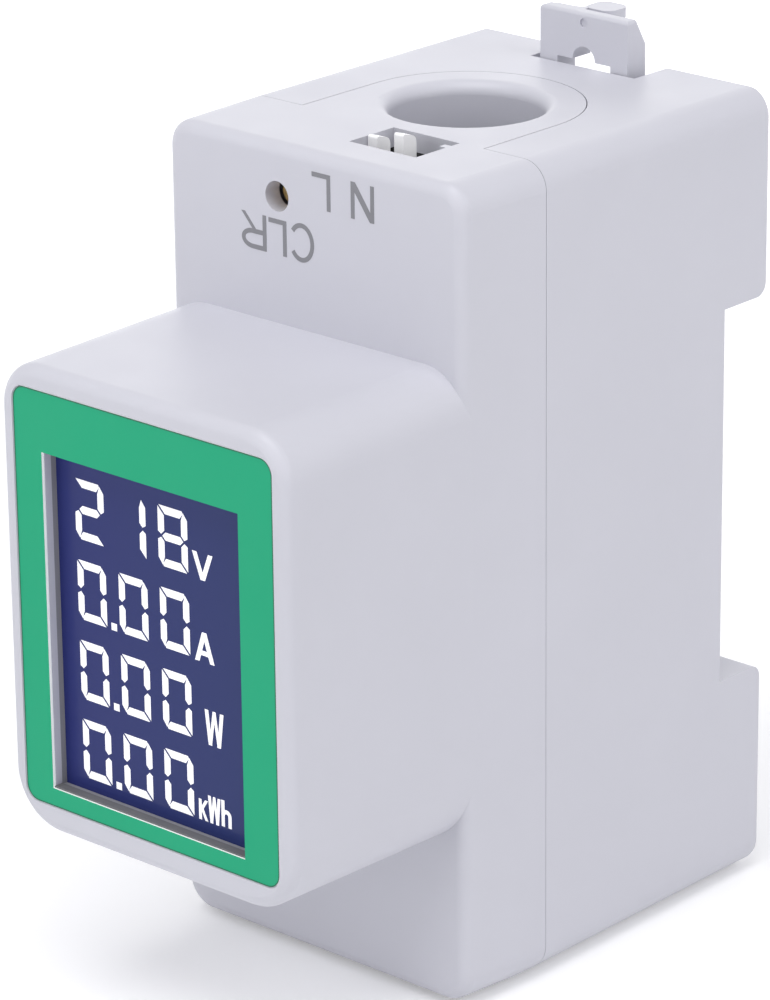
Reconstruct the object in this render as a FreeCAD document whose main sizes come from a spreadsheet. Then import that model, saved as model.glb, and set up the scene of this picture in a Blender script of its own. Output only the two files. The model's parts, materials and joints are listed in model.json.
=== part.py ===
"""Rail mounted energy meter, two modules wide, with a through hole for the measured conductor.

Frame: +X to the right seen from the front, the display faces -Y, +Z up.
The origin is at the middle of the footprint, on the face that the meter stands on.
Lengths are in millimetres.
"""
import FreeCAD, Part
import math
import os
import re
import Sketcher

SIZES = [
    # Housing
    ("module_width", 36.0, "two rail modules of 18"),
    ("body_height", 77.6, "housing, bottom to top"),
    ("total_depth", 64.0, "nose front to the backs of the feet"),
    ("body_depth", 42.0, "ledge front to the backs of the feet"),
    ("rear_depth", 31.4, "parting plane to the backs of the feet"),
    ("nose_height", 44.7, "nose that fills a 45 cut-out of a cabinet cover"),
    ("nose_bottom", 16.3, "height of the nose's lower face"),
    ("wall", 1.8, "moulded wall"),
    ("front_wall", 2.4, "nose front wall"),
    ("ledge_inset", 0.45, "draft of each side, parting plane to ledge"),
    ("nose_inset", 0.35, "further draft of each side, ledge to nose front"),
    ("top_corner", 2.55, "long corners of the housing, upper"),
    ("bottom_corner", 2.95, "long corners of the housing, lower"),
    ("inner_corner", 1.8, "corners of the housing's cavities"),
    ("nose_top_corner", 4.4, "long corners of the nose, upper"),
    ("nose_fall", 0.25, "draft of the nose's upper face, ledge to nose front"),
    ("nose_rise", 0.35, "draft of the nose's lower face, ledge to nose front"),
    ("ledge_rise", 0.4, "draft of the lower face, below the lower ledge"),
    ("nose_bottom_corner", 5.4, "long corners of the nose, lower"),
    ("nose_inner_corner", 1.3, "corners of the nose's cavity"),
    ("rim_radius", 1.15, "rounding round the ledge and the nose front"),
    ("top_rounding", 0.3, "rounding of the back, at the top"),
    ("bottom_rounding", 0.8, "rounding of the back, at the bottom"),
    ("foot_rounding", 1.3, "rounding of the backs, at the rail recess"),
    ("seam_gap", 0.06, "gap between the shells"),
    ("lip_height", 1.2, "locating lip at the parting plane"),
    ("lip_wall", 0.8, "thickness of the locating lip"),
    ("fit_gap", 0.1, "gap round parts that locate each other"),
    # Rail recess and its hooks
    ("rail_recess_bottom", 21.1, "top face of the lower foot"),
    ("rail_recess_height", 36.9, "room for a rail 35 high"),
    ("rail_recess_depth", 6.1, "rail seat to the backs of the feet"),
    ("rail_slot", 1.25, "gap between the seat and the hooks, for a flange 1 thick"),
    ("hook_width", 14.0, "fixed hook"),
    ("hook_height", 1.7, "reach of the fixed hook over the flange"),
    ("hook_thick", 2.2, "thickness of the fixed hook"),
    # Conductor hole
    ("bore_radius", 7.1, "conductor hole"),
    ("bore_share", 0.507, "hole axis to the backs of the feet, as a share of the body's depth"),
    ("bore_rim", 1.2, "rounding of the hole's rim"),
    ("sleeve_wall", 1.4, "sleeve that lines the hole"),
    ("tongue_radius", 10.8, "tongues of the front shell round the hole"),
    # Display
    ("plate_side", 1.7, "nose side to the coloured plate"),
    ("plate_low", 3.0, "plate's lower edge above the nose's lower face"),
    ("plate_high", 2.4, "plate's upper edge below the nose's upper face"),
    ("plate_thick", 0.3, "coloured plate"),
    ("plate_radius", 1.4, "corners of the plate"),
    ("plate_sunk", 0.1, "plate face below the nose face"),
    ("window_side", 3.7, "plate side to the display window, but for the shift"),
    ("window_shift", -0.35, "middle of the window beside the middle of the nose"),
    ("window_low", 1.75, "window's lower edge above the plate's lower edge"),
    ("window_high", 5.65, "window's upper edge below the plate's upper edge"),
    ("window_lip", 0.8, "housing wall between plate and display frame"),
    ("bezel_thick", 0.6, "front of the display frame"),
    ("glass_side", 1.4, "glass beyond the window's sides"),
    ("glass_end", 1.1, "glass beyond the window's upper and lower edges"),
    ("glass_thick", 1.8, "display glass"),
    ("light_thick", 2.6, "back light"),
    ("holder_wall", 0.9, "frame round glass and light"),
    ("board_thick", 1.6, "circuit boards"),
    ("display_board_side", 0.6, "nose cavity to the display board, at the sides"),
    ("display_board_end", 0.35, "nose cavity to the display board, above and below"),
    ("display_screw_side", 2.2, "screws to the sides of the display board"),
    ("display_screw_drop", 3.7, "screws below the nose's upper face"),
    ("display_boss", 1.7, "radius of the display board's bosses"),
    # Main board
    ("main_board_side", 0.75, "ledge cavity to the main board, at the sides"),
    ("main_board_end", 0.6, "ledge cavity to the main board, above and below"),
    ("main_boss_height", 2.0, "ledge wall to the main board"),
    ("main_boss", 2.3, "radius of the main board's bosses"),
    ("main_screw_side", 2.7, "screws to the sides of the main board"),
    ("main_screw_low", 5.6, "lower screws above the board's lower edge"),
    ("main_screw_high", 9.2, "upper screws below the board's upper edge"),
    ("screw_radius", 0.8, "self-cutting screws"),
    ("screw_head", 1.55, "radius of the screw heads"),
    ("screw_head_thick", 1.1, "screw heads"),
    ("screw_bite", 3.2, "length of thread below a board"),
    # Clear button
    ("pin_hole_x", -4.15, "hole in front of the button"),
    ("pin_hole_drop", 4.85, "hole's axis below the top face"),
    ("pin_hole", 1.4, "radius of the hole"),
    ("switch_width", 4.6, "switch base"),
    ("switch_height", 1.4, "switch base"),
    ("button_radius", 1.25, "button"),
    ("button_length", 1.3, "button"),
    ("button_proud", 0.45, "button above the switch base"),
    ("button_travel", 0.25, "press of the button"),
    ("slide_gap", 0.05, "running gap round the button and the levers"),
    # Supply terminal
    ("terminal_x", 4.2, "middle of the terminal"),
    ("well_width", 7.8, "opening over the terminal"),
    ("well_sleeve", 1.2, "terminal block to the sleeve of the conductor hole"),
    ("well_front", 4.65, "opening's front edge behind the ledge face"),
    ("well_rib", 0.75, "rib on the side of the opening"),
    ("terminal_width", 9.0, "terminal block"),
    ("terminal_drop", 1.9, "top of the block below the top face"),
    ("terminal_height", 12.6, "terminal block"),
    ("pole_pitch", 3.1, "from one pole to the other"),
    ("pole_shift", 1.65, "poles to the left of the terminal's middle"),
    ("lever_width", 1.1, "release lever, across"),
    ("lever_thick", 1.7, "release lever, front to back"),
    ("lever_front", 2.3, "lever behind the opening's front edge"),
    ("lever_proud", 0.2, "line lever above the top face"),
    ("lever_slope", 0.5, "fall of a lever's top towards its back"),
    ("lever_round", 0.7, "rounding behind a lever's top"),
    ("lever_soft", 0.2, "rounding of a lever's front edge"),
    ("lever_step", 0.75, "neutral lever above the line lever"),
    ("lever_length", 8.6, "release lever"),
    ("lever_travel", 1.0, "press of a lever"),
    ("wire_hole", 0.75, "radius of a wire entry"),
    ("wire_back", 0.85, "wire entry to the opening's back edge"),
    ("block_back", 0.5, "block behind the opening's back edge"),
    ("contact_thick", 0.4, "contact strips"),
    ("contact_width", 1.2, "contact strips"),
    ("contact_tail", 4.5, "length of the soldered tail below the block"),
    ("spring_thick", 0.3, "clamp springs"),
    ("spring_width", 1.7, "clamp springs"),
    ("chamber_height", 4.2, "clamp chambers in the block"),
    # Rail clip
    ("clip_head_width", 10.5, "head of the clip"),
    ("clip_thick", 2.6, "clip plate"),
    ("clip_proud", 5.1, "head above the top face"),
    ("clip_gap", 0.2, "gap round the clip in its channel"),
    ("clip_reach", 2.3, "reach of the clip over the flange"),
    ("clip_travel", 3.5, "pull of the clip"),
    ("channel_width", 12.5, "channel for the clip"),
    ("rail_flange", 1.2, "side flanges of the clip"),
    ("flange_thick", 1.2, "side flanges of the clip"),
    ("flange_length", 11.5, "side flanges of the clip"),
    ("clip_slope_depth", 1.2, "slope behind the head, along the depth"),
    ("clip_slope_height", 2.1, "slope behind the head, along the height"),
    ("clip_soft", 0.35, "rounding of the head's upper edges"),
    ("clip_arch", 1.35, "radius of the arch for a screwdriver"),
    ("clip_slot_half", 3.2, "half of the gap between the legs"),
    ("clip_slot_top", 0.55, "gap between the legs above the top face"),
    ("clip_bridge", 5.2, "solid end of the clip above the recess"),
    ("clip_tab_width", 3.3, "tab behind the head"),
    ("clip_tab_thick", 0.95, "tab behind the head"),
    ("arm_thick", 0.8, "spring arms of the clip"),
    ("arm_length", 9.0, "spring arms of the clip"),
    ("post_width", 1.6, "post between the spring arms"),
    # Current transformer
    ("core_radius", 12.9, "case of the current transformer"),
    ("core_height", 14.0, "case of the current transformer"),
    ("core_bottom", 30.0, "case above the floor"),
    ("core_wall", 0.8, "case of the current transformer"),
    ("core_foot", 4.0, "half of the foot of the transformer's case"),
    ("core_pin", 3.2, "pins of the transformer beside its middle"),
    # Parts on the boards
    ("header_pitch", 2.54, "board to board pins"),
    ("header_bar", 2.5, "plastic bars of the header"),
    ("header_side", 1.4, "header to the side of the display board"),
    ("header_bottom", 22.0, "lowest pin above the floor"),
    ("pin_size", 0.64, "square pins"),
    ("dropper_width", 8.5, "mains dropper capacitor"),
    ("dropper_length", 18.0, "mains dropper capacitor"),
    ("dropper_clear", 4.0, "mains dropper capacitor to the display board"),
    ("dropper_side", 5.3, "capacitors to the left side of the display board"),
    ("dropper_low", 21.0, "mains dropper capacitor"),
    ("filter_radius", 4.0, "round filter capacitor"),
    ("filter_clear", 6.0, "round filter capacitor to the display board"),
    ("filter_high", 49.5, "axis of the filter capacitor above the floor"),
    ("varistor_radius", 3.6, "surge disc"),
    ("varistor_thick", 3.4, "surge disc"),
    ("varistor_x", -1.0, "surge disc"),
    ("varistor_high", 26.0, "middle of the surge disc above the floor"),
    ("lead_radius", 0.3, "wire leads"),
    ("lead_length", 1.2, "board to the body of a leaded part"),
    ("fuse_radius", 1.5, "fuse resistor"),
    ("fuse_length", 8.5, "fuse resistor"),
    ("fuse_x", 6.5, "fuse resistor"),
    ("fuse_low", 24.0, "fuse resistor above the floor"),
    ("bridge_width", 6.4, "bridge rectifier"),
    ("bridge_tall", 2.6, "bridge rectifier"),
    ("bridge_x", 4.5, "bridge rectifier"),
    ("bridge_low", 37.5, "bridge rectifier above the floor"),
    ("chip_width", 3.9, "metering chip"),
    ("chip_length", 6.0, "metering chip"),
    ("chip_tall", 1.5, "metering chip"),
    ("chip_x", 5.5, "metering chip"),
    ("chip_low", 47.5, "metering chip above the floor"),
    ("lead_pitch", 1.27, "legs of the metering chip"),
    ("lead_reach", 1.0, "legs beside a chip"),
    ("controller_width", 7.0, "display controller"),
    ("controller_tall", 1.4, "display controller"),
    ("controller_x", -2.0, "display controller"),
    ("controller_low", 33.0, "display controller above the floor"),
    ("controller_pitch", 1.2, "legs of the display controller"),
    ("crystal_width", 10.2, "crystal can"),
    ("crystal_thick", 3.8, "crystal can"),
    ("crystal_tall", 3.5, "crystal can"),
    ("crystal_x", 4.5, "crystal can"),
    ("crystal_high", 57.0, "middle of the crystal can above the floor"),
]

LENGTHS = {name: value for name, value, note in SIZES}
HEADER_PINS = 6
CHIP_PINS = 8
CONTROLLER_PINS = 5

# Places that several pieces share
BACK = "total_depth / 2"
NOSE_Y = "(-total_depth / 2)"
LEDGE_Y = "(total_depth / 2 - body_depth)"
PART_Y = "(total_depth / 2 - rear_depth)"
RAIL_Y = "(total_depth / 2 - rail_recess_depth)"
BORE_Y = "(total_depth / 2 - bore_share * body_depth)"
MID_Z = "body_height / 2"
NOSE_Z = "(nose_bottom + nose_height / 2)"
NOSE_TOP = "(nose_bottom + nose_height)"
LEDGE_WIDTH = "(module_width - 2 * ledge_inset)"
NOSE_WIDTH = "(module_width - 2 * ledge_inset - 2 * nose_inset)"
ROOT_WIDTH = "(module_width - 2 * ledge_inset * (1 - rim_radius / (body_depth - rear_depth)))"
INNER_TOP = "(body_height - wall)"
RECESS_TOP = "(rail_recess_bottom + rail_recess_height)"
PLATE_WIDTH = f"({NOSE_WIDTH} - 2 * plate_side)"
PLATE_HEIGHT = "(nose_height - plate_low - plate_high)"
PLATE_Z = f"(nose_bottom + plate_low + {PLATE_HEIGHT} / 2)"
WINDOW_WIDTH = f"({PLATE_WIDTH} - 2 * window_side)"
WINDOW_HEIGHT = f"({PLATE_HEIGHT} - window_low - window_high)"
WINDOW_Z = f"(nose_bottom + plate_low + window_low + {WINDOW_HEIGHT} / 2)"
WINDOW_PLACE = ("window_shift", WINDOW_Z)
GLASS_WIDTH = f"({WINDOW_WIDTH} + 2 * glass_side)"
GLASS_HEIGHT = f"({WINDOW_HEIGHT} + 2 * glass_end)"
BEZEL_Y = f"({NOSE_Y} + plate_sunk + plate_thick + window_lip)"
GLASS_Y = f"({BEZEL_Y} + bezel_thick)"
LIGHT_Y = f"({GLASS_Y} + glass_thick)"
HOLDER_BACK_Y = f"({LIGHT_Y} + light_thick)"
DISPLAY_BOARD_BACK = f"({HOLDER_BACK_Y} + board_thick)"
HOLDER_WIDTH = f"({GLASS_WIDTH} + 2 * fit_gap + 2 * holder_wall)"
HOLDER_HEIGHT = f"({GLASS_HEIGHT} + 2 * fit_gap + 2 * holder_wall)"
DISPLAY_BOARD_HALF = f"({NOSE_WIDTH} / 2 - wall - display_board_side)"
DISPLAY_BOARD_LOW = "(nose_bottom + wall + display_board_end)"
DISPLAY_BOARD_HIGH = f"({NOSE_TOP} - wall - display_board_end)"
DISPLAY_SCREW_X = f"({DISPLAY_BOARD_HALF} - display_screw_side)"
DISPLAY_SCREW_Z = f"({NOSE_TOP} - display_screw_drop)"
MAIN_BOARD_Y = f"({LEDGE_Y} + wall + main_boss_height)"
MAIN_BOARD_BACK = f"({MAIN_BOARD_Y} + board_thick)"
MAIN_BOARD_HALF = f"({LEDGE_WIDTH} / 2 - wall - main_board_side)"
MAIN_BOARD_LOW = "(wall + main_board_end)"
MAIN_BOARD_HIGH = f"({INNER_TOP} - main_board_end)"
MAIN_SCREW_X = f"({MAIN_BOARD_HALF} - main_screw_side)"
MAIN_SCREWS = [(f"-{MAIN_SCREW_X}", f"({MAIN_BOARD_LOW} + main_screw_low)"),
               (MAIN_SCREW_X, f"({MAIN_BOARD_HIGH} - main_screw_high)")]
ROOM = f"({MAIN_BOARD_Y} - {DISPLAY_BOARD_BACK})"
SLEEVE_OUTER = "(bore_radius + sleeve_wall)"
WELL_Y = f"({LEDGE_Y} + well_front)"
WELL_DEPTH = f"({BORE_Y} - {SLEEVE_OUTER} - well_sleeve - block_back - {WELL_Y})"
BLOCK_TOP = "(body_height - terminal_drop)"
BLOCK_BOTTOM = f"({BLOCK_TOP} - terminal_height)"
LEVER_Y = f"({WELL_Y} + lever_front + lever_thick / 2)"
WIRE_Y = f"({WELL_Y} + {WELL_DEPTH} - wire_back)"
CHAMBER_FRONT = f"({LEVER_Y} - lever_thick / 2)"
CHAMBER_BACK = f"({WIRE_Y} + wire_hole)"
PIN_Z = "(body_height - pin_hole_drop)"
SWITCH_Y = f"({MAIN_BOARD_Y} - switch_height)"
CORE_PIN_Z = "(core_bottom + core_height / 2)"
CLIP_Y = f"({RAIL_Y} + rail_slot)"
CLIP_BACK = f"({CLIP_Y} + clip_thick)"
CLIP_BOTTOM = f"({RECESS_TOP} - clip_reach)"
CLIP_TOP = "(body_height + clip_proud)"
FLANGE_BOTTOM = f"({RECESS_TOP} + 1)"
POLES = {"line": "(terminal_x - pole_shift - pole_pitch / 2)",
         "neutral": "(terminal_x - pole_shift + pole_pitch / 2)"}
LEVER_TOPS = {"line": "(body_height + lever_proud)",
              "neutral": "(body_height + lever_proud + lever_step)"}

doc = FreeCAD.newDocument("energy_meter")
sheet = doc.addObject("Spreadsheet::Sheet", "Dims")
for row, (size_name, size_value, size_note) in enumerate(SIZES, start=1):
    sheet.set(f"A{row}", size_name)
    sheet.set(f"B{row}", str(size_value))
    sheet.set(f"C{row}", size_note)
    sheet.setAlias(f"B{row}", size_name)
doc.recompute()

NODES = []


def bind(text):
    """Turn size names into references to the sheet."""
    return re.sub(r"[a-z][a-z_]*", lambda m: f"Dims.{m[0]}" if m[0] in LENGTHS else m[0], str(text))


ruler = doc.addObject("App::FeaturePython", "Ruler")
ruler.addProperty("App::PropertyFloat", "Reading")


def gauge(text):
    """Present value of an expression in size names."""
    ruler.setExpression("Reading", bind(text))
    ruler.recompute()
    return ruler.Reading


def node(obj, label):
    """Give a finished sub-part its name and put it on the list to write."""
    obj.Label = label
    NODES.append(obj)
    return obj


def new_body(name):
    return doc.addObject("PartDesign::Body", name)


def plane_of(body, role):
    return [feature for feature in body.Origin.OriginFeatures if feature.Role == role][0]


def new_sketch(body, name, plane, level, centre):
    """Sketch on an origin plane, moved to a level along its normal and to a centre in it."""
    sketch = body.newObject("Sketcher::SketchObject", name)
    sketch.AttachmentSupport = (plane_of(body, f"{plane}_Plane"), [""])
    sketch.MapMode = "FlatFace"
    sketch.setExpression(".AttachmentOffset.Base.x", bind(centre[0]))
    sketch.setExpression(".AttachmentOffset.Base.y", bind(centre[1]))
    sign = "-" if plane == "XZ" else ""
    sketch.setExpression(".AttachmentOffset.Base.z", bind(f"{sign}({level})"))
    return sketch


def near(first, second, slack=0.01):
    return abs(first - second) < slack


def drive(sketch, name, kind, places, size):
    """Add a named constraint between places and bind it to the sheet."""
    index = sketch.addConstraint(Sketcher.Constraint(kind, *places, gauge(size)))
    sketch.renameConstraint(index, name)
    sketch.setExpression(f"Constraints.{name}", bind(size))


def constrain(sketch, *rules):
    for kind, *places in rules:
        sketch.addConstraint(Sketcher.Constraint(kind, *places))


def draw_lines(sketch, corners):
    """Closed chain of lines, each joined to the next."""
    for start, end in zip(corners, corners[1:] + corners[:1]):
        sketch.addGeometry(Part.LineSegment(start, end))
    count = len(corners)
    constrain(sketch, *[("Coincident", side, 2, (side + 1) % count, 1) for side in range(count)])


def draw_rectangle(sketch, width, height):
    """Rectangle centred on the sketch's origin."""
    half_x, half_y = gauge(width) / 2, gauge(height) / 2
    signs = ((-1, -1), (1, -1), (1, 1), (-1, 1))
    draw_lines(sketch, [FreeCAD.Vector(x * half_x, y * half_y, 0) for x, y in signs])
    constrain(sketch, ("Horizontal", 0), ("Vertical", 1), ("Horizontal", 2), ("Vertical", 3),
              ("Symmetric", 0, 1, 2, 1, -1, 1))
    drive(sketch, "width", "DistanceX", (0, 1, 0, 2), width)
    drive(sketch, "height", "DistanceY", (1, 1, 1, 2), height)


def draw_rounded(sketch, width, height, radius):
    """Rectangle with equal round corners, centred on the sketch's origin."""
    half_x, half_y, corner = gauge(width) / 2, gauge(height) / 2, gauge(radius)
    for quadrant in range(4):
        turn = math.pi / 2 * quadrant
        along, across = (half_y, half_x) if quadrant % 2 else (half_x, half_y)
        turned = FreeCAD.Rotation(FreeCAD.Vector(0, 0, 1), math.degrees(turn))
        start, end, middle = (turned.multVec(FreeCAD.Vector(x, y, 0)) for x, y in (
            (-along + corner, -across), (along - corner, -across), (along - corner, -across + corner)))
        circle = Part.Circle(middle, FreeCAD.Vector(0, 0, 1), corner)
        sketch.addGeometry(Part.LineSegment(start, end))
        sketch.addGeometry(Part.ArcOfCircle(circle, turn - math.pi / 2, turn))
    for quadrant in range(4):
        line, arc, following = 2 * quadrant, 2 * quadrant + 1, (2 * quadrant + 2) % 8
        constrain(sketch, ("Tangent", line, 2, arc, 1), ("Tangent", arc, 2, following, 1),
                  ("Vertical" if quadrant % 2 else "Horizontal", line))
        if quadrant:
            constrain(sketch, ("Equal", 1, arc))
    constrain(sketch, ("Symmetric", 1, 3, 5, 3, -1, 1))
    drive(sketch, "radius", "Radius", (1,), radius)
    drive(sketch, "width", "DistanceX", (5, 3, 3, 3), f"{width} - 2 * ({radius})")
    drive(sketch, "height", "DistanceY", (1, 3, 3, 3), f"{height} - 2 * ({radius})")


def draw_circle(sketch, radius):
    sketch.addGeometry(Part.Circle(FreeCAD.Vector(), FreeCAD.Vector(0, 0, 1), gauge(radius)))
    constrain(sketch, ("Coincident", 0, 3, -1, 1))
    drive(sketch, "radius", "Radius", (0,), radius)


def draw_polygon(sketch, points):
    """Closed outline through points given as pairs of sizes."""
    draw_lines(sketch, [FreeCAD.Vector(gauge(x), gauge(y), 0) for x, y in points])
    for side, (x, y) in enumerate(points):
        drive(sketch, f"x{side}", "DistanceX", (-1, 1, side, 1), x)
        drive(sketch, f"y{side}", "DistanceY", (-1, 1, side, 1), y)


def draw_corner(sketch, radius, sign_x, sign_y):
    """Region outside a round corner, whose square corner is the sketch's origin.

    The signs give the side of the material.
    """
    reach = gauge(radius)
    centre = FreeCAD.Vector(reach * sign_x, reach * sign_y, 0)
    on_x, on_y = FreeCAD.Vector(centre.x, 0, 0), FreeCAD.Vector(0, centre.y, 0)
    angles = sorted((math.atan2(-sign_y, 0), math.atan2(0, -sign_x)))
    if angles[1] - angles[0] > math.pi:
        angles = [angles[1], angles[0] + 2 * math.pi]
    arc = Part.ArcOfCircle(Part.Circle(centre, FreeCAD.Vector(0, 0, 1), reach), *angles)
    starts_on_x = near(arc.StartPoint.y, 0)
    start, end = (on_x, on_y) if starts_on_x else (on_y, on_x)
    sketch.addGeometry(arc)
    sketch.addGeometry(Part.LineSegment(end, FreeCAD.Vector()))
    sketch.addGeometry(Part.LineSegment(FreeCAD.Vector(), start))
    constrain(sketch, ("Tangent", 0, 2, 1, 1), ("Coincident", 1, 2, -1, 1), ("Coincident", 2, 1, -1, 1),
              ("Tangent", 2, 2, 0, 1), ("Vertical" if starts_on_x else "Horizontal", 1),
              ("Horizontal" if starts_on_x else "Vertical", 2))
    drive(sketch, "radius", "Radius", (0,), radius)


def draw_tongue(sketch, radius, straight):
    """Straight sides that end in a half circle round the sketch's origin, on its +Y side."""
    reach, low = gauge(radius), -gauge(straight)
    left, right = FreeCAD.Vector(-reach, low, 0), FreeCAD.Vector(reach, low, 0)
    circle = Part.Circle(FreeCAD.Vector(), FreeCAD.Vector(0, 0, 1), reach)
    sketch.addGeometry(Part.LineSegment(left, right))
    sketch.addGeometry(Part.LineSegment(right, FreeCAD.Vector(reach, 0, 0)))
    sketch.addGeometry(Part.ArcOfCircle(circle, 0, math.pi))
    sketch.addGeometry(Part.LineSegment(FreeCAD.Vector(-reach, 0, 0), left))
    constrain(sketch, ("Coincident", 0, 2, 1, 1), ("Tangent", 1, 2, 2, 1), ("Tangent", 2, 2, 3, 1),
              ("Coincident", 3, 2, 0, 1), ("Horizontal", 0), ("Vertical", 1), ("Vertical", 3),
              ("Coincident", 2, 3, -1, 1))
    drive(sketch, "radius", "Radius", (2,), radius)
    drive(sketch, "straight", "DistanceY", (0, 2, -1, 1), straight)


DRAW = {"rectangle": draw_rectangle, "rounded": draw_rounded, "circle": draw_circle,
        "polygon": draw_polygon, "tongue": draw_tongue, "corner": draw_corner}


def sweep(body, kind, name, plane, levels, shape, centre=("0", "0")):
    """Pad or Pocket a drawn shape from the first level to the second, along the plane's axis."""
    low, high = levels
    sketch = new_sketch(body, f"{name}_sketch", plane, low, centre)
    DRAW[shape[0]](sketch, *shape[1:])
    feature = body.newObject(f"PartDesign::{kind}", name)
    feature.Profile = sketch
    feature.setExpression("Length", bind(f"({high}) - ({low})"))
    against_normal = plane == "XZ"
    feature.Reversed = against_normal if kind == "Pad" else not against_normal
    return feature


def pad(body, name, plane, levels, shape, centre=("0", "0")):
    return sweep(body, "Pad", name, plane, levels, shape, centre)


def pocket(body, name, plane, levels, shape, centre=("0", "0")):
    """Pocket that stops the script if it cuts nothing."""
    doc.recompute()
    before = body.Shape.Volume
    feature = sweep(body, "Pocket", name, plane, levels, shape, centre)
    doc.recompute()
    if body.Shape.Volume > before - 1e-6:
        raise RuntimeError(f"pocket {name} cuts nothing")
    return feature


def edges_where(shape, test):
    """Names of the edges whose bounding box passes a test."""
    return [f"Edge{number}" for number, edge in enumerate(shape.Edges, start=1) if test(edge.BoundBox, edge)]


def dress(body, kind, name, size, test):
    """Fillet or chamfer the edges of the body that pass a test."""
    doc.recompute()
    tip = body.Tip
    names = edges_where(tip.Shape, test)
    if not names:
        raise RuntimeError(f"{name} finds no edge")
    feature = body.newObject(f"PartDesign::{kind}", name)
    feature.Base = (tip, names)
    feature.setExpression("Radius" if kind == "Fillet" else "Size", bind(size))
    doc.recompute()
    if feature.Shape.isNull() or not feature.Shape.isValid():
        raise RuntimeError(f"{name} fails on {names}")
    return feature


def box(name, x, y, z):
    """Block between pairs of sizes."""
    obj = doc.addObject("Part::Box", name)
    for axis, side, (low, high) in zip("xyz", ("Length", "Width", "Height"), (x, y, z)):
        obj.setExpression(side, bind(f"({high}) - ({low})"))
        obj.setExpression(f".Placement.Base.{axis}", bind(low))
    return obj


TURNS = {"x": FreeCAD.Rotation(FreeCAD.Vector(0, 1, 0), 90),
         "y": FreeCAD.Rotation(FreeCAD.Vector(1, 0, 0), -90),
         "z": FreeCAD.Rotation()}


def rod(name, axis, radius, start, length):
    """Cylinder along +axis from a start point."""
    obj = doc.addObject("Part::Cylinder", name)
    obj.Placement = FreeCAD.Placement(FreeCAD.Vector(), TURNS[axis])
    obj.setExpression("Radius", bind(radius))
    obj.setExpression("Height", bind(length))
    for letter, value in zip("xyz", start):
        obj.setExpression(f".Placement.Base.{letter}", bind(value))
    return obj


def fuse(name, parts):
    obj = doc.addObject("Part::MultiFuse", name)
    obj.Shapes = parts
    obj.Refine = True
    return obj


def cut(name, base, tools):
    obj = doc.addObject("Part::Cut", name)
    obj.Base = base
    obj.Tool = tools[0] if len(tools) == 1 else fuse(f"{name}_tools", tools)
    return obj


def group(name, parts):
    obj = doc.addObject("Part::Compound", name)
    obj.Links = parts
    return obj


def round_edges(name, base, radius, test):
    """Fillet on a primitive or boolean."""
    doc.recompute()
    obj = doc.addObject("Part::Fillet", name)
    obj.Base = base
    numbers = [int(edge[4:]) for edge in edges_where(base.Shape, test)]
    obj.Edges = [(number, gauge(radius), gauge(radius)) for number in numbers]
    return obj


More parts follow.
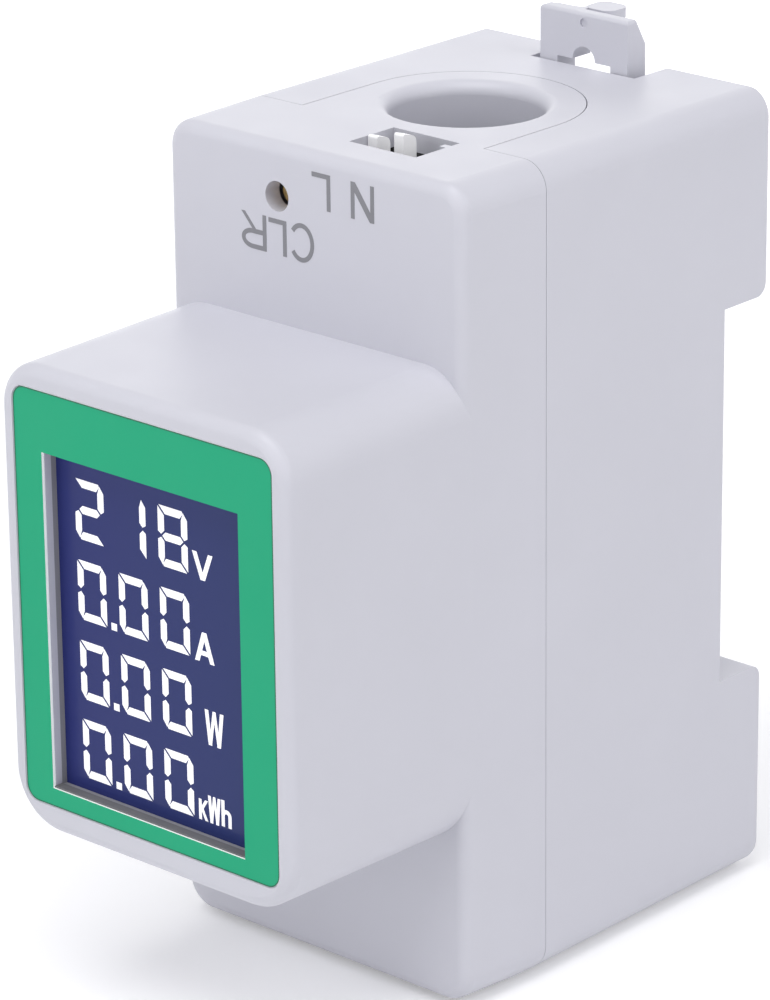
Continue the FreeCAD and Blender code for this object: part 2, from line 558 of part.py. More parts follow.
def make_rear_housing():
    """Rear shell: feet, rail recess, fixed hook, clip channel and locating lip."""
    body = new_body("RearHousing")
    half = "module_width / 2"
    profile = [(PART_Y, "0"), (BACK, "0"), (BACK, "rail_recess_bottom"), (RAIL_Y, "rail_recess_bottom"),
               (RAIL_Y, RECESS_TOP), (BACK, RECESS_TOP), (BACK, "body_height"), (PART_Y, "body_height")]
    pad(body, "shell", "YZ", (f"-{half}", half), ("polygon", profile))
    across = (f"-{half} - 1", f"{half} + 1")
    for name, level, radius, sign in (("bottom", "0", "bottom_rounding", 1),
                                      ("lower_foot", "rail_recess_bottom", "foot_rounding", -1),
                                      ("upper_foot", RECESS_TOP, "foot_rounding", 1),
                                      ("top", "body_height", "top_rounding", -1)):
        pocket(body, f"back_rounding_{name}", "YZ", across, ("corner", radius, -1, sign), (BACK, level))
    for side_name, x, sign in (("left", f"-{half}", 1), ("right", half, -1)):
        for end, z, radius, sign_z in (("bottom", "0", "bottom_corner", 1),
                                       ("top", "body_height", "top_corner", -1)):
            pocket(body, f"long_corner_{end}_{side_name}", "XZ", (f"{PART_Y} - 1", f"{BACK} + 1"),
                   ("corner", radius, sign, sign_z), (x, z))
    inner_width = "module_width - 2 * wall"
    pocket(body, "main_cavity", "XZ", (PART_Y, f"{RAIL_Y} - wall"),
           ("rounded", inner_width, "body_height - 2 * wall", "inner_corner"), ("0", MID_Z))
    pocket(body, "lower_foot_cavity", "XZ", (f"{RAIL_Y} - wall", f"{BACK} - wall"),
           ("rectangle", "module_width - 2 * wall - 2 * lip_wall", "rail_recess_bottom - 3 * wall"),
           ("0", "rail_recess_bottom / 2"))
    for side_name, sign in (("left", "-"), ("right", "")):
        block = f"(module_width / 2 - wall - channel_width / 2 - rail_flange - wall - lip_wall)"
        middle = f"(channel_width / 2 + rail_flange + wall + {block} / 2)"
        pocket(body, f"upper_foot_cavity_{side_name}", "XZ", (f"{RAIL_Y} - wall", f"{BACK} - wall"),
               ("rectangle", block, f"body_height - {RECESS_TOP} - 3 * wall"),
               (f"{sign}{middle}", f"({RECESS_TOP} + body_height) / 2"))
    pad(body, "locating_lip", "XZ", (f"{PART_Y} - lip_height", f"{PART_Y} + wall"),
        ("rounded", f"{inner_width} + 2 * lip_wall", "body_height - 2 * wall + 2 * lip_wall", "inner_corner"),
        ("0", MID_Z))
    pocket(body, "lip_opening", "XZ", (f"{PART_Y} - lip_height", f"{PART_Y} + wall"),
           ("rounded", inner_width, "body_height - 2 * wall", "inner_corner"), ("0", MID_Z))
    for end, low in (("top", f"{INNER_TOP} - lip_height"), ("bottom", "-fit_gap")):
        pocket(body, f"tongue_notch_{end}", "XY", (low, f"{low} + wall + lip_height + fit_gap"),
               ("tongue", "tongue_radius + fit_gap", f"{BORE_Y} - {PART_Y} + lip_height + 1"), ("0", BORE_Y))
    pad(body, "fixed_hook", "XY", ("rail_recess_bottom - wall", "rail_recess_bottom + hook_height"),
        ("rectangle", "hook_width", "hook_thick"), ("0", f"{CLIP_Y} + hook_thick / 2"))
    hook_top = gauge("rail_recess_bottom + hook_height")
    hook_back = gauge(f"{CLIP_Y} + hook_thick")
    dress(body, "Chamfer", "hook_lead", "hook_height / 2",
          lambda b, e: near(b.ZMin, hook_top) and near(b.ZMax, hook_top) and near(b.YMin, hook_back)
          and near(b.YMax, hook_back))
    channel = (f"{CLIP_Y} - clip_gap", f"{BACK} + 1")
    pocket(body, "clip_channel", "XZ", channel,
           ("rectangle", "channel_width", f"body_height - {RECESS_TOP} + 2"),
           ("0", f"({RECESS_TOP} + body_height) / 2"))
    groove_top = f"({FLANGE_BOTTOM} + flange_length + clip_travel)"
    pocket(body, "clip_grooves", "XZ", (f"{CLIP_Y} - clip_gap", f"{CLIP_Y} + flange_thick + clip_gap"),
           ("rectangle", "channel_width + 2 * rail_flange", f"{groove_top} - {RECESS_TOP} + 1"),
           ("0", f"({RECESS_TOP} - 1 + {groove_top}) / 2"))
    post_low = f"({CLIP_BOTTOM} + clip_bridge + clip_reach + clip_travel + 1)"
    pad(body, "spring_post", "XZ", (f"{CLIP_Y} - clip_gap - wall / 2", f"{CLIP_Y} + clip_thick"),
        ("rectangle", "post_width", f"body_height - wall - {post_low}"),
        ("0", f"({post_low} + body_height - wall) / 2"))
    return node(body, "rear_housing")


def make_nose():
    """Outer form of the nose, with its draft and roundings."""
    body = new_body("Nose")
    root_y = f"({LEDGE_Y} + rim_radius)"
    pad(body, "block", "XY", ("nose_bottom", NOSE_TOP), ("polygon", [
        (f"-{ROOT_WIDTH} / 2", root_y), (f"-{NOSE_WIDTH} / 2", NOSE_Y),
        (f"{NOSE_WIDTH} / 2", NOSE_Y), (f"{ROOT_WIDTH} / 2", root_y)]))
    across = (f"-{ROOT_WIDTH} / 2 - 1", f"{ROOT_WIDTH} / 2 + 1")
    for name, level, front_level, beyond in (
            ("upper_draft", NOSE_TOP, f"{NOSE_TOP} - nose_fall", f"{NOSE_TOP} + 1"),
            ("lower_draft", "nose_bottom", "nose_bottom + nose_rise", "nose_bottom - 1")):
        pocket(body, name, "YZ", across, ("polygon", [
            (root_y, level), (NOSE_Y, front_level), (NOSE_Y, beyond), (root_y, beyond)]))
    front, middle = gauge(NOSE_Y), gauge(NOSE_Z)
    dress(body, "Fillet", "upper_corners", "nose_top_corner",
          lambda b, e: b.YLength > 1 and b.ZLength < 1 and b.ZMin > middle)
    dress(body, "Fillet", "lower_corners", "nose_bottom_corner",
          lambda b, e: b.YLength > 1 and b.ZLength < 1 and b.ZMax < middle)
    dress(body, "Fillet", "rim", "rim_radius", lambda b, e: near(b.YMin, front) and near(b.YMax, front))
    return body


def make_front_housing():
    """Front shell: ledges, nose, display window, tongues round the conductor hole and board bosses."""
    body = new_body("FrontHousing")
    half, ledge_half = "module_width / 2", f"{LEDGE_WIDTH} / 2"
    end = f"({PART_Y} - seam_gap)"
    pad(body, "ledges", "XY", ("0", "body_height"), ("polygon", [
        (f"-{half}", end), (f"-{ledge_half}", LEDGE_Y), (ledge_half, LEDGE_Y), (half, end)]))
    draft_y = f"({PART_Y} - lip_height - wall)"
    pocket(body, "lower_draft", "YZ", (f"-{half} - 1", f"{half} + 1"), ("polygon", [
        (draft_y, "0"), (LEDGE_Y, "ledge_rise"), (LEDGE_Y, "-1"), (draft_y, "-1")]))
    ledge, middle = gauge(LEDGE_Y), gauge(MID_Z)
    dress(body, "Fillet", "upper_corners", "top_corner",
          lambda b, e: b.YLength > 1 and b.ZLength < 0.01 and b.XLength < 1 and b.ZMin > middle)
    dress(body, "Fillet", "lower_corners", "bottom_corner",
          lambda b, e: b.YLength > 1 and b.XLength < 1 and b.ZMax < 1)
    dress(body, "Fillet", "ledge_rim", "rim_radius", lambda b, e: near(b.YMin, ledge) and near(b.YMax, ledge))
    joined = body.newObject("PartDesign::Boolean", "nose")
    joined.setObjects([make_nose()])
    joined.Type = "Fuse"
    doc.recompute()
    for end, low in (("top", INNER_TOP), ("bottom", "0")):
        pad(body, f"tongue_{end}", "XY", (low, f"{low} + wall"),
            ("tongue", "tongue_radius", f"{BORE_Y} - {PART_Y} + wall"), ("0", BORE_Y))
    pocket(body, "ledge_cavity", "XZ", (f"{LEDGE_Y} + wall", PART_Y),
           ("rounded", f"{LEDGE_WIDTH} - 2 * wall", "body_height - 2 * wall", "inner_corner"), ("0", MID_Z))
    pocket(body, "lip_rebate", "XZ", (f"{PART_Y} - lip_height - fit_gap", PART_Y),
           ("rounded", "module_width - 2 * wall + 2 * lip_wall + 2 * fit_gap",
            "body_height - 2 * wall + 2 * lip_wall + 2 * fit_gap", "inner_corner"), ("0", MID_Z))
    for end, low in (("top", INNER_TOP), ("bottom", "0")):
        pad(body, f"tongue_root_{end}", "XY", (low, f"{low} + wall"),
            ("rectangle", "2 * tongue_radius", "lip_height + wall"),
            ("0", f"{PART_Y} - lip_height / 2"))
    pocket(body, "nose_cavity", "XZ", (f"{NOSE_Y} + front_wall", f"{LEDGE_Y} + wall"),
           ("rounded", f"{NOSE_WIDTH} - 2 * wall", "nose_height - 2 * wall", "nose_inner_corner"),
           ("0", NOSE_Z))
    pocket(body, "plate_recess", "XZ", (NOSE_Y, f"{NOSE_Y} + plate_sunk + plate_thick"),
           ("rounded", f"{PLATE_WIDTH} + 2 * fit_gap", f"{PLATE_HEIGHT} + 2 * fit_gap",
            "plate_radius + fit_gap"),
           ("0", PLATE_Z))
    pocket(body, "display_window", "XZ", (NOSE_Y, BEZEL_Y),
           ("rectangle", WINDOW_WIDTH, WINDOW_HEIGHT), WINDOW_PLACE)
    pocket(body, "holder_seat", "XZ", (BEZEL_Y, f"{NOSE_Y} + front_wall"),
           ("rectangle", f"{HOLDER_WIDTH} + 2 * fit_gap", f"{HOLDER_HEIGHT} + 2 * fit_gap"), WINDOW_PLACE)
    pocket(body, "terminal_opening", "XY", (f"{INNER_TOP} - fit_gap", "body_height"),
           ("rectangle", "well_width", WELL_DEPTH), ("terminal_x", f"{WELL_Y} + {WELL_DEPTH} / 2"))
    pad(body, "terminal_rib", "XY", (INNER_TOP, "body_height"),
        ("rectangle", "2 * well_rib", "well_rib"),
        ("terminal_x + well_width / 2", f"{WELL_Y} + {WELL_DEPTH} - 2 * well_rib"))
    pocket(body, "button_hole", "XZ", (LEDGE_Y, f"{LEDGE_Y} + wall"), ("circle", "pin_hole"),
           ("pin_hole_x", PIN_Z))
    for number, place in enumerate(MAIN_SCREWS):
        pad(body, f"main_boss_{number}", "XZ", (f"{LEDGE_Y} + wall / 2", MAIN_BOARD_Y),
            ("circle", "main_boss"), place)
        pocket(body, f"main_boss_hole_{number}", "XZ",
               (f"{MAIN_BOARD_Y} - screw_bite + fit_gap / 2", MAIN_BOARD_Y),
               ("circle", "screw_radius"), place)
    for side_name, x in (("left", f"-{DISPLAY_SCREW_X}"), ("right", DISPLAY_SCREW_X)):
        place = (x, DISPLAY_SCREW_Z)
        pad(body, f"display_boss_{side_name}", "XZ", (f"{NOSE_Y} + front_wall / 2", HOLDER_BACK_Y),
            ("circle", "display_boss"), place)
        pocket(body, f"display_boss_hole_{side_name}", "XZ", (f"{HOLDER_BACK_Y} - screw_bite", HOLDER_BACK_Y),
               ("circle", "screw_radius"), place)
    pocket(body, "conductor_hole", "XY", ("0", "body_height"), ("circle", "bore_radius"), ("0", BORE_Y))
    top, radius = gauge("body_height"), gauge("bore_radius")
    dress(body, "Fillet", "hole_rims", "bore_rim",
          lambda b, e: near(b.ZMin, b.ZMax) and (near(b.ZMin, 0) or near(b.ZMax, top))
          and near(b.XLength, 2 * radius) and near(b.YLength, 2 * radius))
    return node(body, "front_housing")


def make_display():
    """Coloured plate, glass, light, frame and their board."""
    plate = new_body("FacePlate")
    pad(plate, "sheet", "XZ", (f"{NOSE_Y} + plate_sunk", f"{NOSE_Y} + plate_sunk + plate_thick"),
        ("rounded", PLATE_WIDTH, PLATE_HEIGHT, "plate_radius"), ("0", PLATE_Z))
    pocket(plate, "window", "XZ", (f"{NOSE_Y} + plate_sunk", f"{NOSE_Y} + plate_sunk + plate_thick"),
           ("rectangle", WINDOW_WIDTH, WINDOW_HEIGHT), WINDOW_PLACE)
    node(plate, "face_plate")
    spans = [(f"{middle} - {size} / 2", f"{middle} + {size} / 2")
             for middle, size in zip(WINDOW_PLACE, (GLASS_WIDTH, GLASS_HEIGHT))]
    node(box("Glass", spans[0], (GLASS_Y, LIGHT_Y), spans[1]), "lcd_panel")
    node(box("Light", spans[0], (LIGHT_Y, f"{LIGHT_Y} + light_thick"), spans[1]), "lcd_backlight")
    holder = new_body("Holder")
    pad(holder, "frame", "XZ", (BEZEL_Y, HOLDER_BACK_Y), ("rectangle", HOLDER_WIDTH, HOLDER_HEIGHT),
        WINDOW_PLACE)
    pocket(holder, "bezel_opening", "XZ", (BEZEL_Y, GLASS_Y), ("rectangle", WINDOW_WIDTH, WINDOW_HEIGHT),
           WINDOW_PLACE)
    pocket(holder, "seat", "XZ", (GLASS_Y, HOLDER_BACK_Y),
           ("rectangle", f"{GLASS_WIDTH} + 2 * fit_gap", f"{GLASS_HEIGHT} + 2 * fit_gap"), WINDOW_PLACE)
    node(holder, "lcd_holder")
    board = box("DisplayBoard", (f"-{DISPLAY_BOARD_HALF}", DISPLAY_BOARD_HALF),
                (HOLDER_BACK_Y, DISPLAY_BOARD_BACK), (DISPLAY_BOARD_LOW, DISPLAY_BOARD_HIGH))
    holes = [rod(f"DisplayBoardHole{number}", "y", "screw_radius + fit_gap",
                 (x, f"{HOLDER_BACK_Y} - 1", DISPLAY_SCREW_Z), "board_thick + 2")
             for number, x in enumerate((f"-{DISPLAY_SCREW_X}", DISPLAY_SCREW_X))]
    node(cut("DisplayBoardCut", board, holes), "display_board")
    node(group("DisplayScrews", [screw(f"DisplayScrew{number}", x, DISPLAY_BOARD_BACK, DISPLAY_SCREW_Z)
                                 for number, x in enumerate((f"-{DISPLAY_SCREW_X}", DISPLAY_SCREW_X))]),
         "display_board_screws")


def screw(name, x, seat, z):
    """Pan head screw whose head seats on a board's back and whose thread points to -Y."""
    length = "screw_bite + board_thick - fit_gap"
    shank = rod(f"{name}Shank", "y", "screw_radius - slide_gap", (x, f"{seat} - ({length})", z), length)
    head = rod(f"{name}Head", "y", "screw_head", (x, seat, z), "screw_head_thick")
    return fuse(name, [shank, head])


def make_main_board():
    """Main board with its notch for the terminal block, and its screws."""
    board = box("MainBoard", (f"-{MAIN_BOARD_HALF}", MAIN_BOARD_HALF), (MAIN_BOARD_Y, MAIN_BOARD_BACK),
                (MAIN_BOARD_LOW, MAIN_BOARD_HIGH))
    notch_half = "(terminal_width / 2 + 2 * fit_gap)"
    notch = box("BoardNotch", (f"terminal_x - {notch_half}", f"terminal_x + {notch_half}"),
                (f"{MAIN_BOARD_Y} - 1", f"{MAIN_BOARD_BACK} + 1"),
                (f"{BLOCK_BOTTOM} - fit_gap", f"{MAIN_BOARD_HIGH} + 1"))
    front = f"{MAIN_BOARD_Y} - 1"
    holes = [rod(f"MainBoardHole{number}", "y", "screw_radius + fit_gap", (x, front, z), "board_thick + 2")
             for number, (x, z) in enumerate(MAIN_SCREWS)]
    pins = [rod(f"CoreHole{number}", "y", "pin_size", (x, front, CORE_PIN_Z), "board_thick + 2")
            for number, x in enumerate(("-core_pin", "core_pin"))]
    node(cut("MainBoardCut", board, [notch] + holes + pins), "metering_board")
    node(group("MainScrews", [screw(f"MainScrew{number}", x, MAIN_BOARD_BACK, z)
                              for number, (x, z) in enumerate(MAIN_SCREWS)]), "metering_board_screws")


def make_button():
    """Switch on the main board with its button behind the hole in the ledge."""
    base = new_body("Switch")
    pad(base, "base", "XZ", (SWITCH_Y, MAIN_BOARD_Y),
        ("rounded", "switch_width", "switch_width", "switch_width / 8"), ("pin_hole_x", PIN_Z))
    well_back = f"{SWITCH_Y} + button_length - button_proud + button_travel + slide_gap"
    pocket(base, "well", "XZ", (SWITCH_Y, well_back), ("circle", "button_radius + slide_gap"),
           ("pin_hole_x", PIN_Z))
    node(base, "tact_switch")
    button = new_body("Button")
    pad(button, "disc", "XZ", (f"{SWITCH_Y} - button_proud", f"{SWITCH_Y} + button_length - button_proud"),
        ("circle", "button_radius"), ("pin_hole_x", PIN_Z))
    face = gauge(f"{SWITCH_Y} - button_proud")
    dress(button, "Chamfer", "edge", "button_radius / 8", lambda b, e: near(b.YMax, face))
    node(button, "clear_button")


def make_terminal():
    """Supply terminal: block, levers, contacts and clamp springs."""
    body = new_body("TerminalBlock")
    block_front, block_back = f"({WELL_Y} - fit_gap)", f"({WELL_Y} + {WELL_DEPTH} + block_back)"
    pad(body, "block", "XZ", (block_front, block_back),
        ("rounded", "terminal_width", "terminal_height", "fit_gap * 4"),
        ("terminal_x", f"({BLOCK_TOP} + {BLOCK_BOTTOM}) / 2"))
    for pole, x in POLES.items():
        pocket(body, f"lever_slot_{pole}", "XY",
               (f"{BLOCK_TOP} - lever_length - lever_travel", f"{BLOCK_TOP} + 1"),
               ("rectangle", "lever_width + 2 * slide_gap", "lever_thick + 2 * slide_gap"), (x, LEVER_Y))
        pocket(body, f"wire_entry_{pole}", "XY", (f"{BLOCK_BOTTOM} + contact_width", f"{BLOCK_TOP} + 1"),
               ("circle", "wire_hole"), (x, WIRE_Y))
        pocket(body, f"chamber_{pole}", "XY", (f"{BLOCK_BOTTOM} - 1", f"{BLOCK_BOTTOM} + chamber_height"),
               ("rectangle", "spring_width + 4 * slide_gap", f"{CHAMBER_BACK} - {CHAMBER_FRONT}"),
               (x, f"({CHAMBER_BACK} + {CHAMBER_FRONT}) / 2"))
    node(body, "terminal_block")
    for pole, x in POLES.items():
        make_lever(pole, x)
        make_contact(pole, x)


def make_lever(pole, x):
    """Push lever that opens one clamp."""
    lever = new_body(f"Lever_{pole}")
    top = LEVER_TOPS[pole]
    bottom = f"({BLOCK_TOP} - lever_length + lever_proud)"
    pad(lever, "plate", "XZ", (f"{LEVER_Y} - lever_thick / 2", f"{LEVER_Y} + lever_thick / 2"),
        ("rectangle", "lever_width", f"{top} - {bottom}"), (x, f"({top} + {bottom}) / 2"))
    front, back = f"({LEVER_Y} - lever_thick / 2)", f"({LEVER_Y} + lever_thick / 2)"
    pocket(lever, "slope", "YZ", (f"{x} - lever_width", f"{x} + lever_width"), ("polygon", [
        (front, top), (back, f"{top} - lever_slope"), (back, f"{top} + 1"), (front, f"{top} + 1")]))
    high, rear = gauge(top), gauge(back)
    dress(lever, "Fillet", "rear_rounding", "lever_round",
          lambda b, e: near(b.ZLength, 0) and b.ZMin > high - 1 and near(b.YMin, rear) and near(b.YMax, rear))
    dress(lever, "Fillet", "front_edge", "lever_soft", lambda b, e: near(b.ZMin, high) and near(b.ZMax, high))
    node(lever, f"release_lever_{pole}")


def make_contact(pole, x):
    """Contact strip with its soldered tail, and the spring that clamps the wire to it."""
    half = "contact_width / 2"
    tail = box(f"Tail_{pole}", (f"{x} - {half}", f"{x} + {half}"),
               (MAIN_BOARD_BACK, f"{MAIN_BOARD_BACK} + contact_thick"),
               (f"{BLOCK_BOTTOM} - contact_tail", BLOCK_BOTTOM))
    foot = box(f"Foot_{pole}", (f"{x} - {half}", f"{x} + {half}"),
               (MAIN_BOARD_BACK, f"{CHAMBER_BACK} - slide_gap"),
               (f"{BLOCK_BOTTOM} - contact_thick", BLOCK_BOTTOM))
    riser = box(f"Riser_{pole}", (f"{x} - {half}", f"{x} + {half}"),
                (f"{CHAMBER_BACK} - slide_gap - contact_thick", f"{CHAMBER_BACK} - slide_gap"),
                (BLOCK_BOTTOM, f"{BLOCK_BOTTOM} + chamber_height - slide_gap"))
    node(fuse(f"Contact_{pole}", [tail, foot, riser]), f"contact_{pole}")
    front, back = f"({CHAMBER_FRONT} + slide_gap)", f"({CHAMBER_BACK} - contact_thick - 4 * slide_gap)"
    low, leaf = f"({BLOCK_BOTTOM})", "spring_thick"
    knee = f"({BLOCK_BOTTOM} + chamber_height - lever_travel - 2 * spring_thick)"
    tip = f"({BLOCK_BOTTOM} + 3 * spring_thick)"
    outline = [(back, low), (front, low), (front, knee), (back, f"{tip} + {leaf}"), (back, tip),
               (f"{front} + {leaf}", f"{knee} - 1.5 * {leaf}"), (f"{front} + {leaf}", f"{low} + {leaf}"),
               (back, f"{low} + {leaf}")]
    spring = new_body(f"Spring_{pole}")
    pad(spring, "leaf", "YZ", (f"{x} - spring_width / 2", f"{x} + spring_width / 2"), ("polygon", outline))
    node(spring, f"clamp_spring_{pole}")


def make_clip():
    """Sliding clip that locks the meter on its rail."""
    body = new_body("Clip")
    levels = (CLIP_Y, CLIP_BACK)
    pad(body, "plate", "XZ", levels, ("rectangle", "clip_head_width", f"{CLIP_TOP} - {CLIP_BOTTOM}"),
        ("0", f"({CLIP_TOP} + {CLIP_BOTTOM}) / 2"))
    pocket(body, "head_slope", "YZ", ("-clip_head_width / 2 - 1", "clip_head_width / 2 + 1"), ("polygon", [
        (f"{CLIP_BACK} - clip_slope_depth", CLIP_TOP), (CLIP_BACK, f"{CLIP_TOP} - clip_slope_height"),
        (CLIP_BACK, CLIP_TOP)]))
    back, low, high = gauge(CLIP_BACK), gauge(CLIP_BOTTOM), gauge(CLIP_TOP)
    dress(body, "Fillet", "head_edges", "clip_soft",
          lambda b, e: b.ZMin > high - gauge("clip_slope_height") - 0.01 and b.ZMax > b.ZMin + 0.01
          or near(b.ZMin, high))
    dress(body, "Chamfer", "lead", "clip_thick / 2",
          lambda b, e: near(b.ZMin, low) and near(b.ZMax, low) and near(b.YMin, back) and near(b.YMax, back))
    pad(body, "flanges", "XZ", (CLIP_Y, f"{CLIP_Y} + flange_thick"),
        ("rectangle", "channel_width + 2 * rail_flange - 2 * clip_gap", "flange_length"),
        ("0", f"{FLANGE_BOTTOM} + flange_length / 2"))
    gap_low = f"({CLIP_BOTTOM} + clip_reach + clip_bridge)"
    gap_top = "(body_height + clip_slot_top)"
    pocket(body, "leg_gap", "XZ", levels, ("rectangle", "2 * clip_slot_half", f"{gap_top} - {gap_low}"),
           ("0", f"({gap_top} + {gap_low}) / 2"))
    pocket(body, "arch", "XZ", levels, ("circle", "clip_arch"), ("0", gap_top))
    pad(body, "tab", "XY", (f"{CLIP_TOP} - clip_tab_thick", CLIP_TOP),
        ("rounded", "clip_tab_width", f"{BACK} - {CLIP_Y} - wall", "clip_tab_width / 3"),
        ("0", f"({BACK} + {CLIP_Y} + wall) / 2"))
    for side in ("-", ""):
        x = f"{side}(post_width / 2 + 2 * clip_gap + arm_thick / 2)"
        pad(body, f"arm{'_left' if side else '_right'}", "XZ", (CLIP_Y, f"{CLIP_Y} + clip_thick - fit_gap"),
            ("rectangle", "arm_thick", "arm_length"), (x, f"{gap_low} - 0.5 + arm_length / 2"))
    pocket(body, "dimple", "XZ", (CLIP_Y, f"{CLIP_Y} + clip_gap"), ("circle", "clip_arch / 3"),
           ("0", f"{CLIP_TOP} - clip_tab_thick"))
    node(body, "rail_clip")


def make_transformer():
    """Sleeve through the housing, and the ring shaped current transformer round it."""
    length = f"{INNER_TOP} - wall"
    outer = rod("SleeveOuter", "z", SLEEVE_OUTER, ("0", BORE_Y, "wall"), length)
    bore = rod("SleeveBore", "z", "bore_radius", ("0", BORE_Y, "wall"), length)
    node(cut("Sleeve", outer, [bore]), "conductor_sleeve")
    hole = f"({SLEEVE_OUTER} + fit_gap)"
    case = rod("CaseOuter", "z", "core_radius", ("0", BORE_Y, "core_bottom"), "core_height")
    foot = box("CaseFoot", ("-core_foot", "core_foot"), (f"{BORE_Y} - core_radius", f"{BORE_Y} - {hole}"),
               (f"{CORE_PIN_Z} - core_foot", f"{CORE_PIN_Z} + core_foot"))
    through = rod("CaseBore", "z", hole, ("0", BORE_Y, "core_bottom - 1"), "core_height + 2")
    room_outer = rod("RoomOuter", "z", "core_radius - core_wall", ("0", BORE_Y, "core_bottom + core_wall"),
                     "core_height")
    room_inner = rod("RoomInner", "z", f"{hole} + core_wall", ("0", BORE_Y, "core_bottom"), "core_height + 2")
    room = cut("CaseRoom", room_outer, [room_inner])
    node(cut("Case", fuse("CaseBody", [case, foot]), [through, room]), "transformer_case")
    low, height = "core_bottom + core_wall", "core_height - 2 * core_wall"
    ring = rod("WindingOuter", "z", "core_radius - core_wall - fit_gap", ("0", BORE_Y, low), height)
    eye = rod("WindingInner", "z", f"{hole} + core_wall + fit_gap", ("0", BORE_Y, f"{low} - 1"),
              f"{height} + 2")
    node(cut("Winding", ring, [eye]), "transformer_winding")
    pins = [rod(f"CorePin{number}", "y", "pin_size / 2", (x, f"{MAIN_BOARD_Y} - contact_thick", CORE_PIN_Z),
                f"{BORE_Y} - core_radius - {MAIN_BOARD_Y} + contact_thick")
            for number, x in enumerate(("-core_pin", "core_pin"))]
    node(group("CorePins", pins), "transformer_pins")


def make_header():
    """Pins on the display board that plug into a socket on the main board."""
    length = f"(header_pitch * {HEADER_PINS})"
    x = f"({DISPLAY_BOARD_HALF} - header_side)"
    socket_front = f"{MAIN_BOARD_Y} - {ROOM} / 2"
    sides = (f"{x} - header_bar / 2", f"{x} + header_bar / 2")
    spans = ("header_bottom - header_pitch / 2", f"header_bottom - header_pitch / 2 + {length}")
    bar = box("PinBar", sides, (DISPLAY_BOARD_BACK, f"{DISPLAY_BOARD_BACK} + header_bar"), spans)
    socket = box("SocketBar", sides, (socket_front, MAIN_BOARD_Y), spans)
    pins, holes = [], []
    for number in range(HEADER_PINS):
        z = f"(header_bottom + {number} * header_pitch)"
        for parts, name, half, start in (
                (pins, "HeaderPin", "pin_size / 2", DISPLAY_BOARD_BACK),
                (holes, "SocketHole", "(pin_size / 2 + fit_gap)", f"{socket_front} - 1")):
            parts.append(box(f"{name}{number}", (f"{x} - {half}", f"{x} + {half}"),
                             (start, f"{MAIN_BOARD_Y} - header_bar"), (f"{z} - {half}", f"{z} + {half}")))
    node(fuse("HeaderPins", [bar] + pins), "header_pins")
    node(cut("HeaderSocket", socket, holes), "header_socket")


def make_power_parts():
    """Leaded parts of the supply, on the front of the main board inside the nose."""
    x = f"(dropper_side - {DISPLAY_BOARD_HALF})"
    node(round_edges("Dropper", box("DropperBody", (f"{x} - dropper_width / 2", f"{x} + dropper_width / 2"),
                                    (f"{DISPLAY_BOARD_BACK} + dropper_clear", MAIN_BOARD_Y),
                                    ("dropper_low", "dropper_low + dropper_length")),
                     "lead_radius", lambda b, e: b.YLength > 1), "dropper_capacitor")
    can = rod("FilterCan", "y", "filter_radius", (x, f"{DISPLAY_BOARD_BACK} + filter_clear", "filter_high"),
              f"{ROOM} - filter_clear")
    node(can, "filter_capacitor")
    disc_y = f"({MAIN_BOARD_Y} - lead_length - varistor_radius)"
    disc = rod("VaristorDisc", "x", "varistor_radius",
               ("varistor_x - varistor_thick / 2", disc_y, "varistor_high"), "varistor_thick")
    leads = [rod(f"VaristorLead{number}", "y", "lead_radius", ("varistor_x", disc_y, z),
                 "lead_length + varistor_radius")
             for number, z in enumerate((f"varistor_high {side} varistor_radius / 2" for side in "-+"))]
    node(fuse("Varistor", [disc] + leads), "varistor")
    fuse_y = f"({MAIN_BOARD_Y} - lead_length - fuse_radius)"
    resistor = rod("FuseBody", "z", "fuse_radius", ("fuse_x", fuse_y, "fuse_low"), "fuse_length")
    lead_levels = ("fuse_low + 2 * lead_radius", "fuse_low + fuse_length - 2 * lead_radius")
    ends = [rod(f"FuseLead{number}", "y", "lead_radius", ("fuse_x", fuse_y, z), "lead_length + fuse_radius")
            for number, z in enumerate(lead_levels)]
    node(fuse("FuseResistor", [resistor] + ends), "fuse_resistor")
    bridge = box("Bridge", ("bridge_x - bridge_width / 2", "bridge_x + bridge_width / 2"),
                 (f"{MAIN_BOARD_Y} - bridge_tall", MAIN_BOARD_Y), ("bridge_low", "bridge_low + bridge_width"))
    node(bridge, "bridge_rectifier")


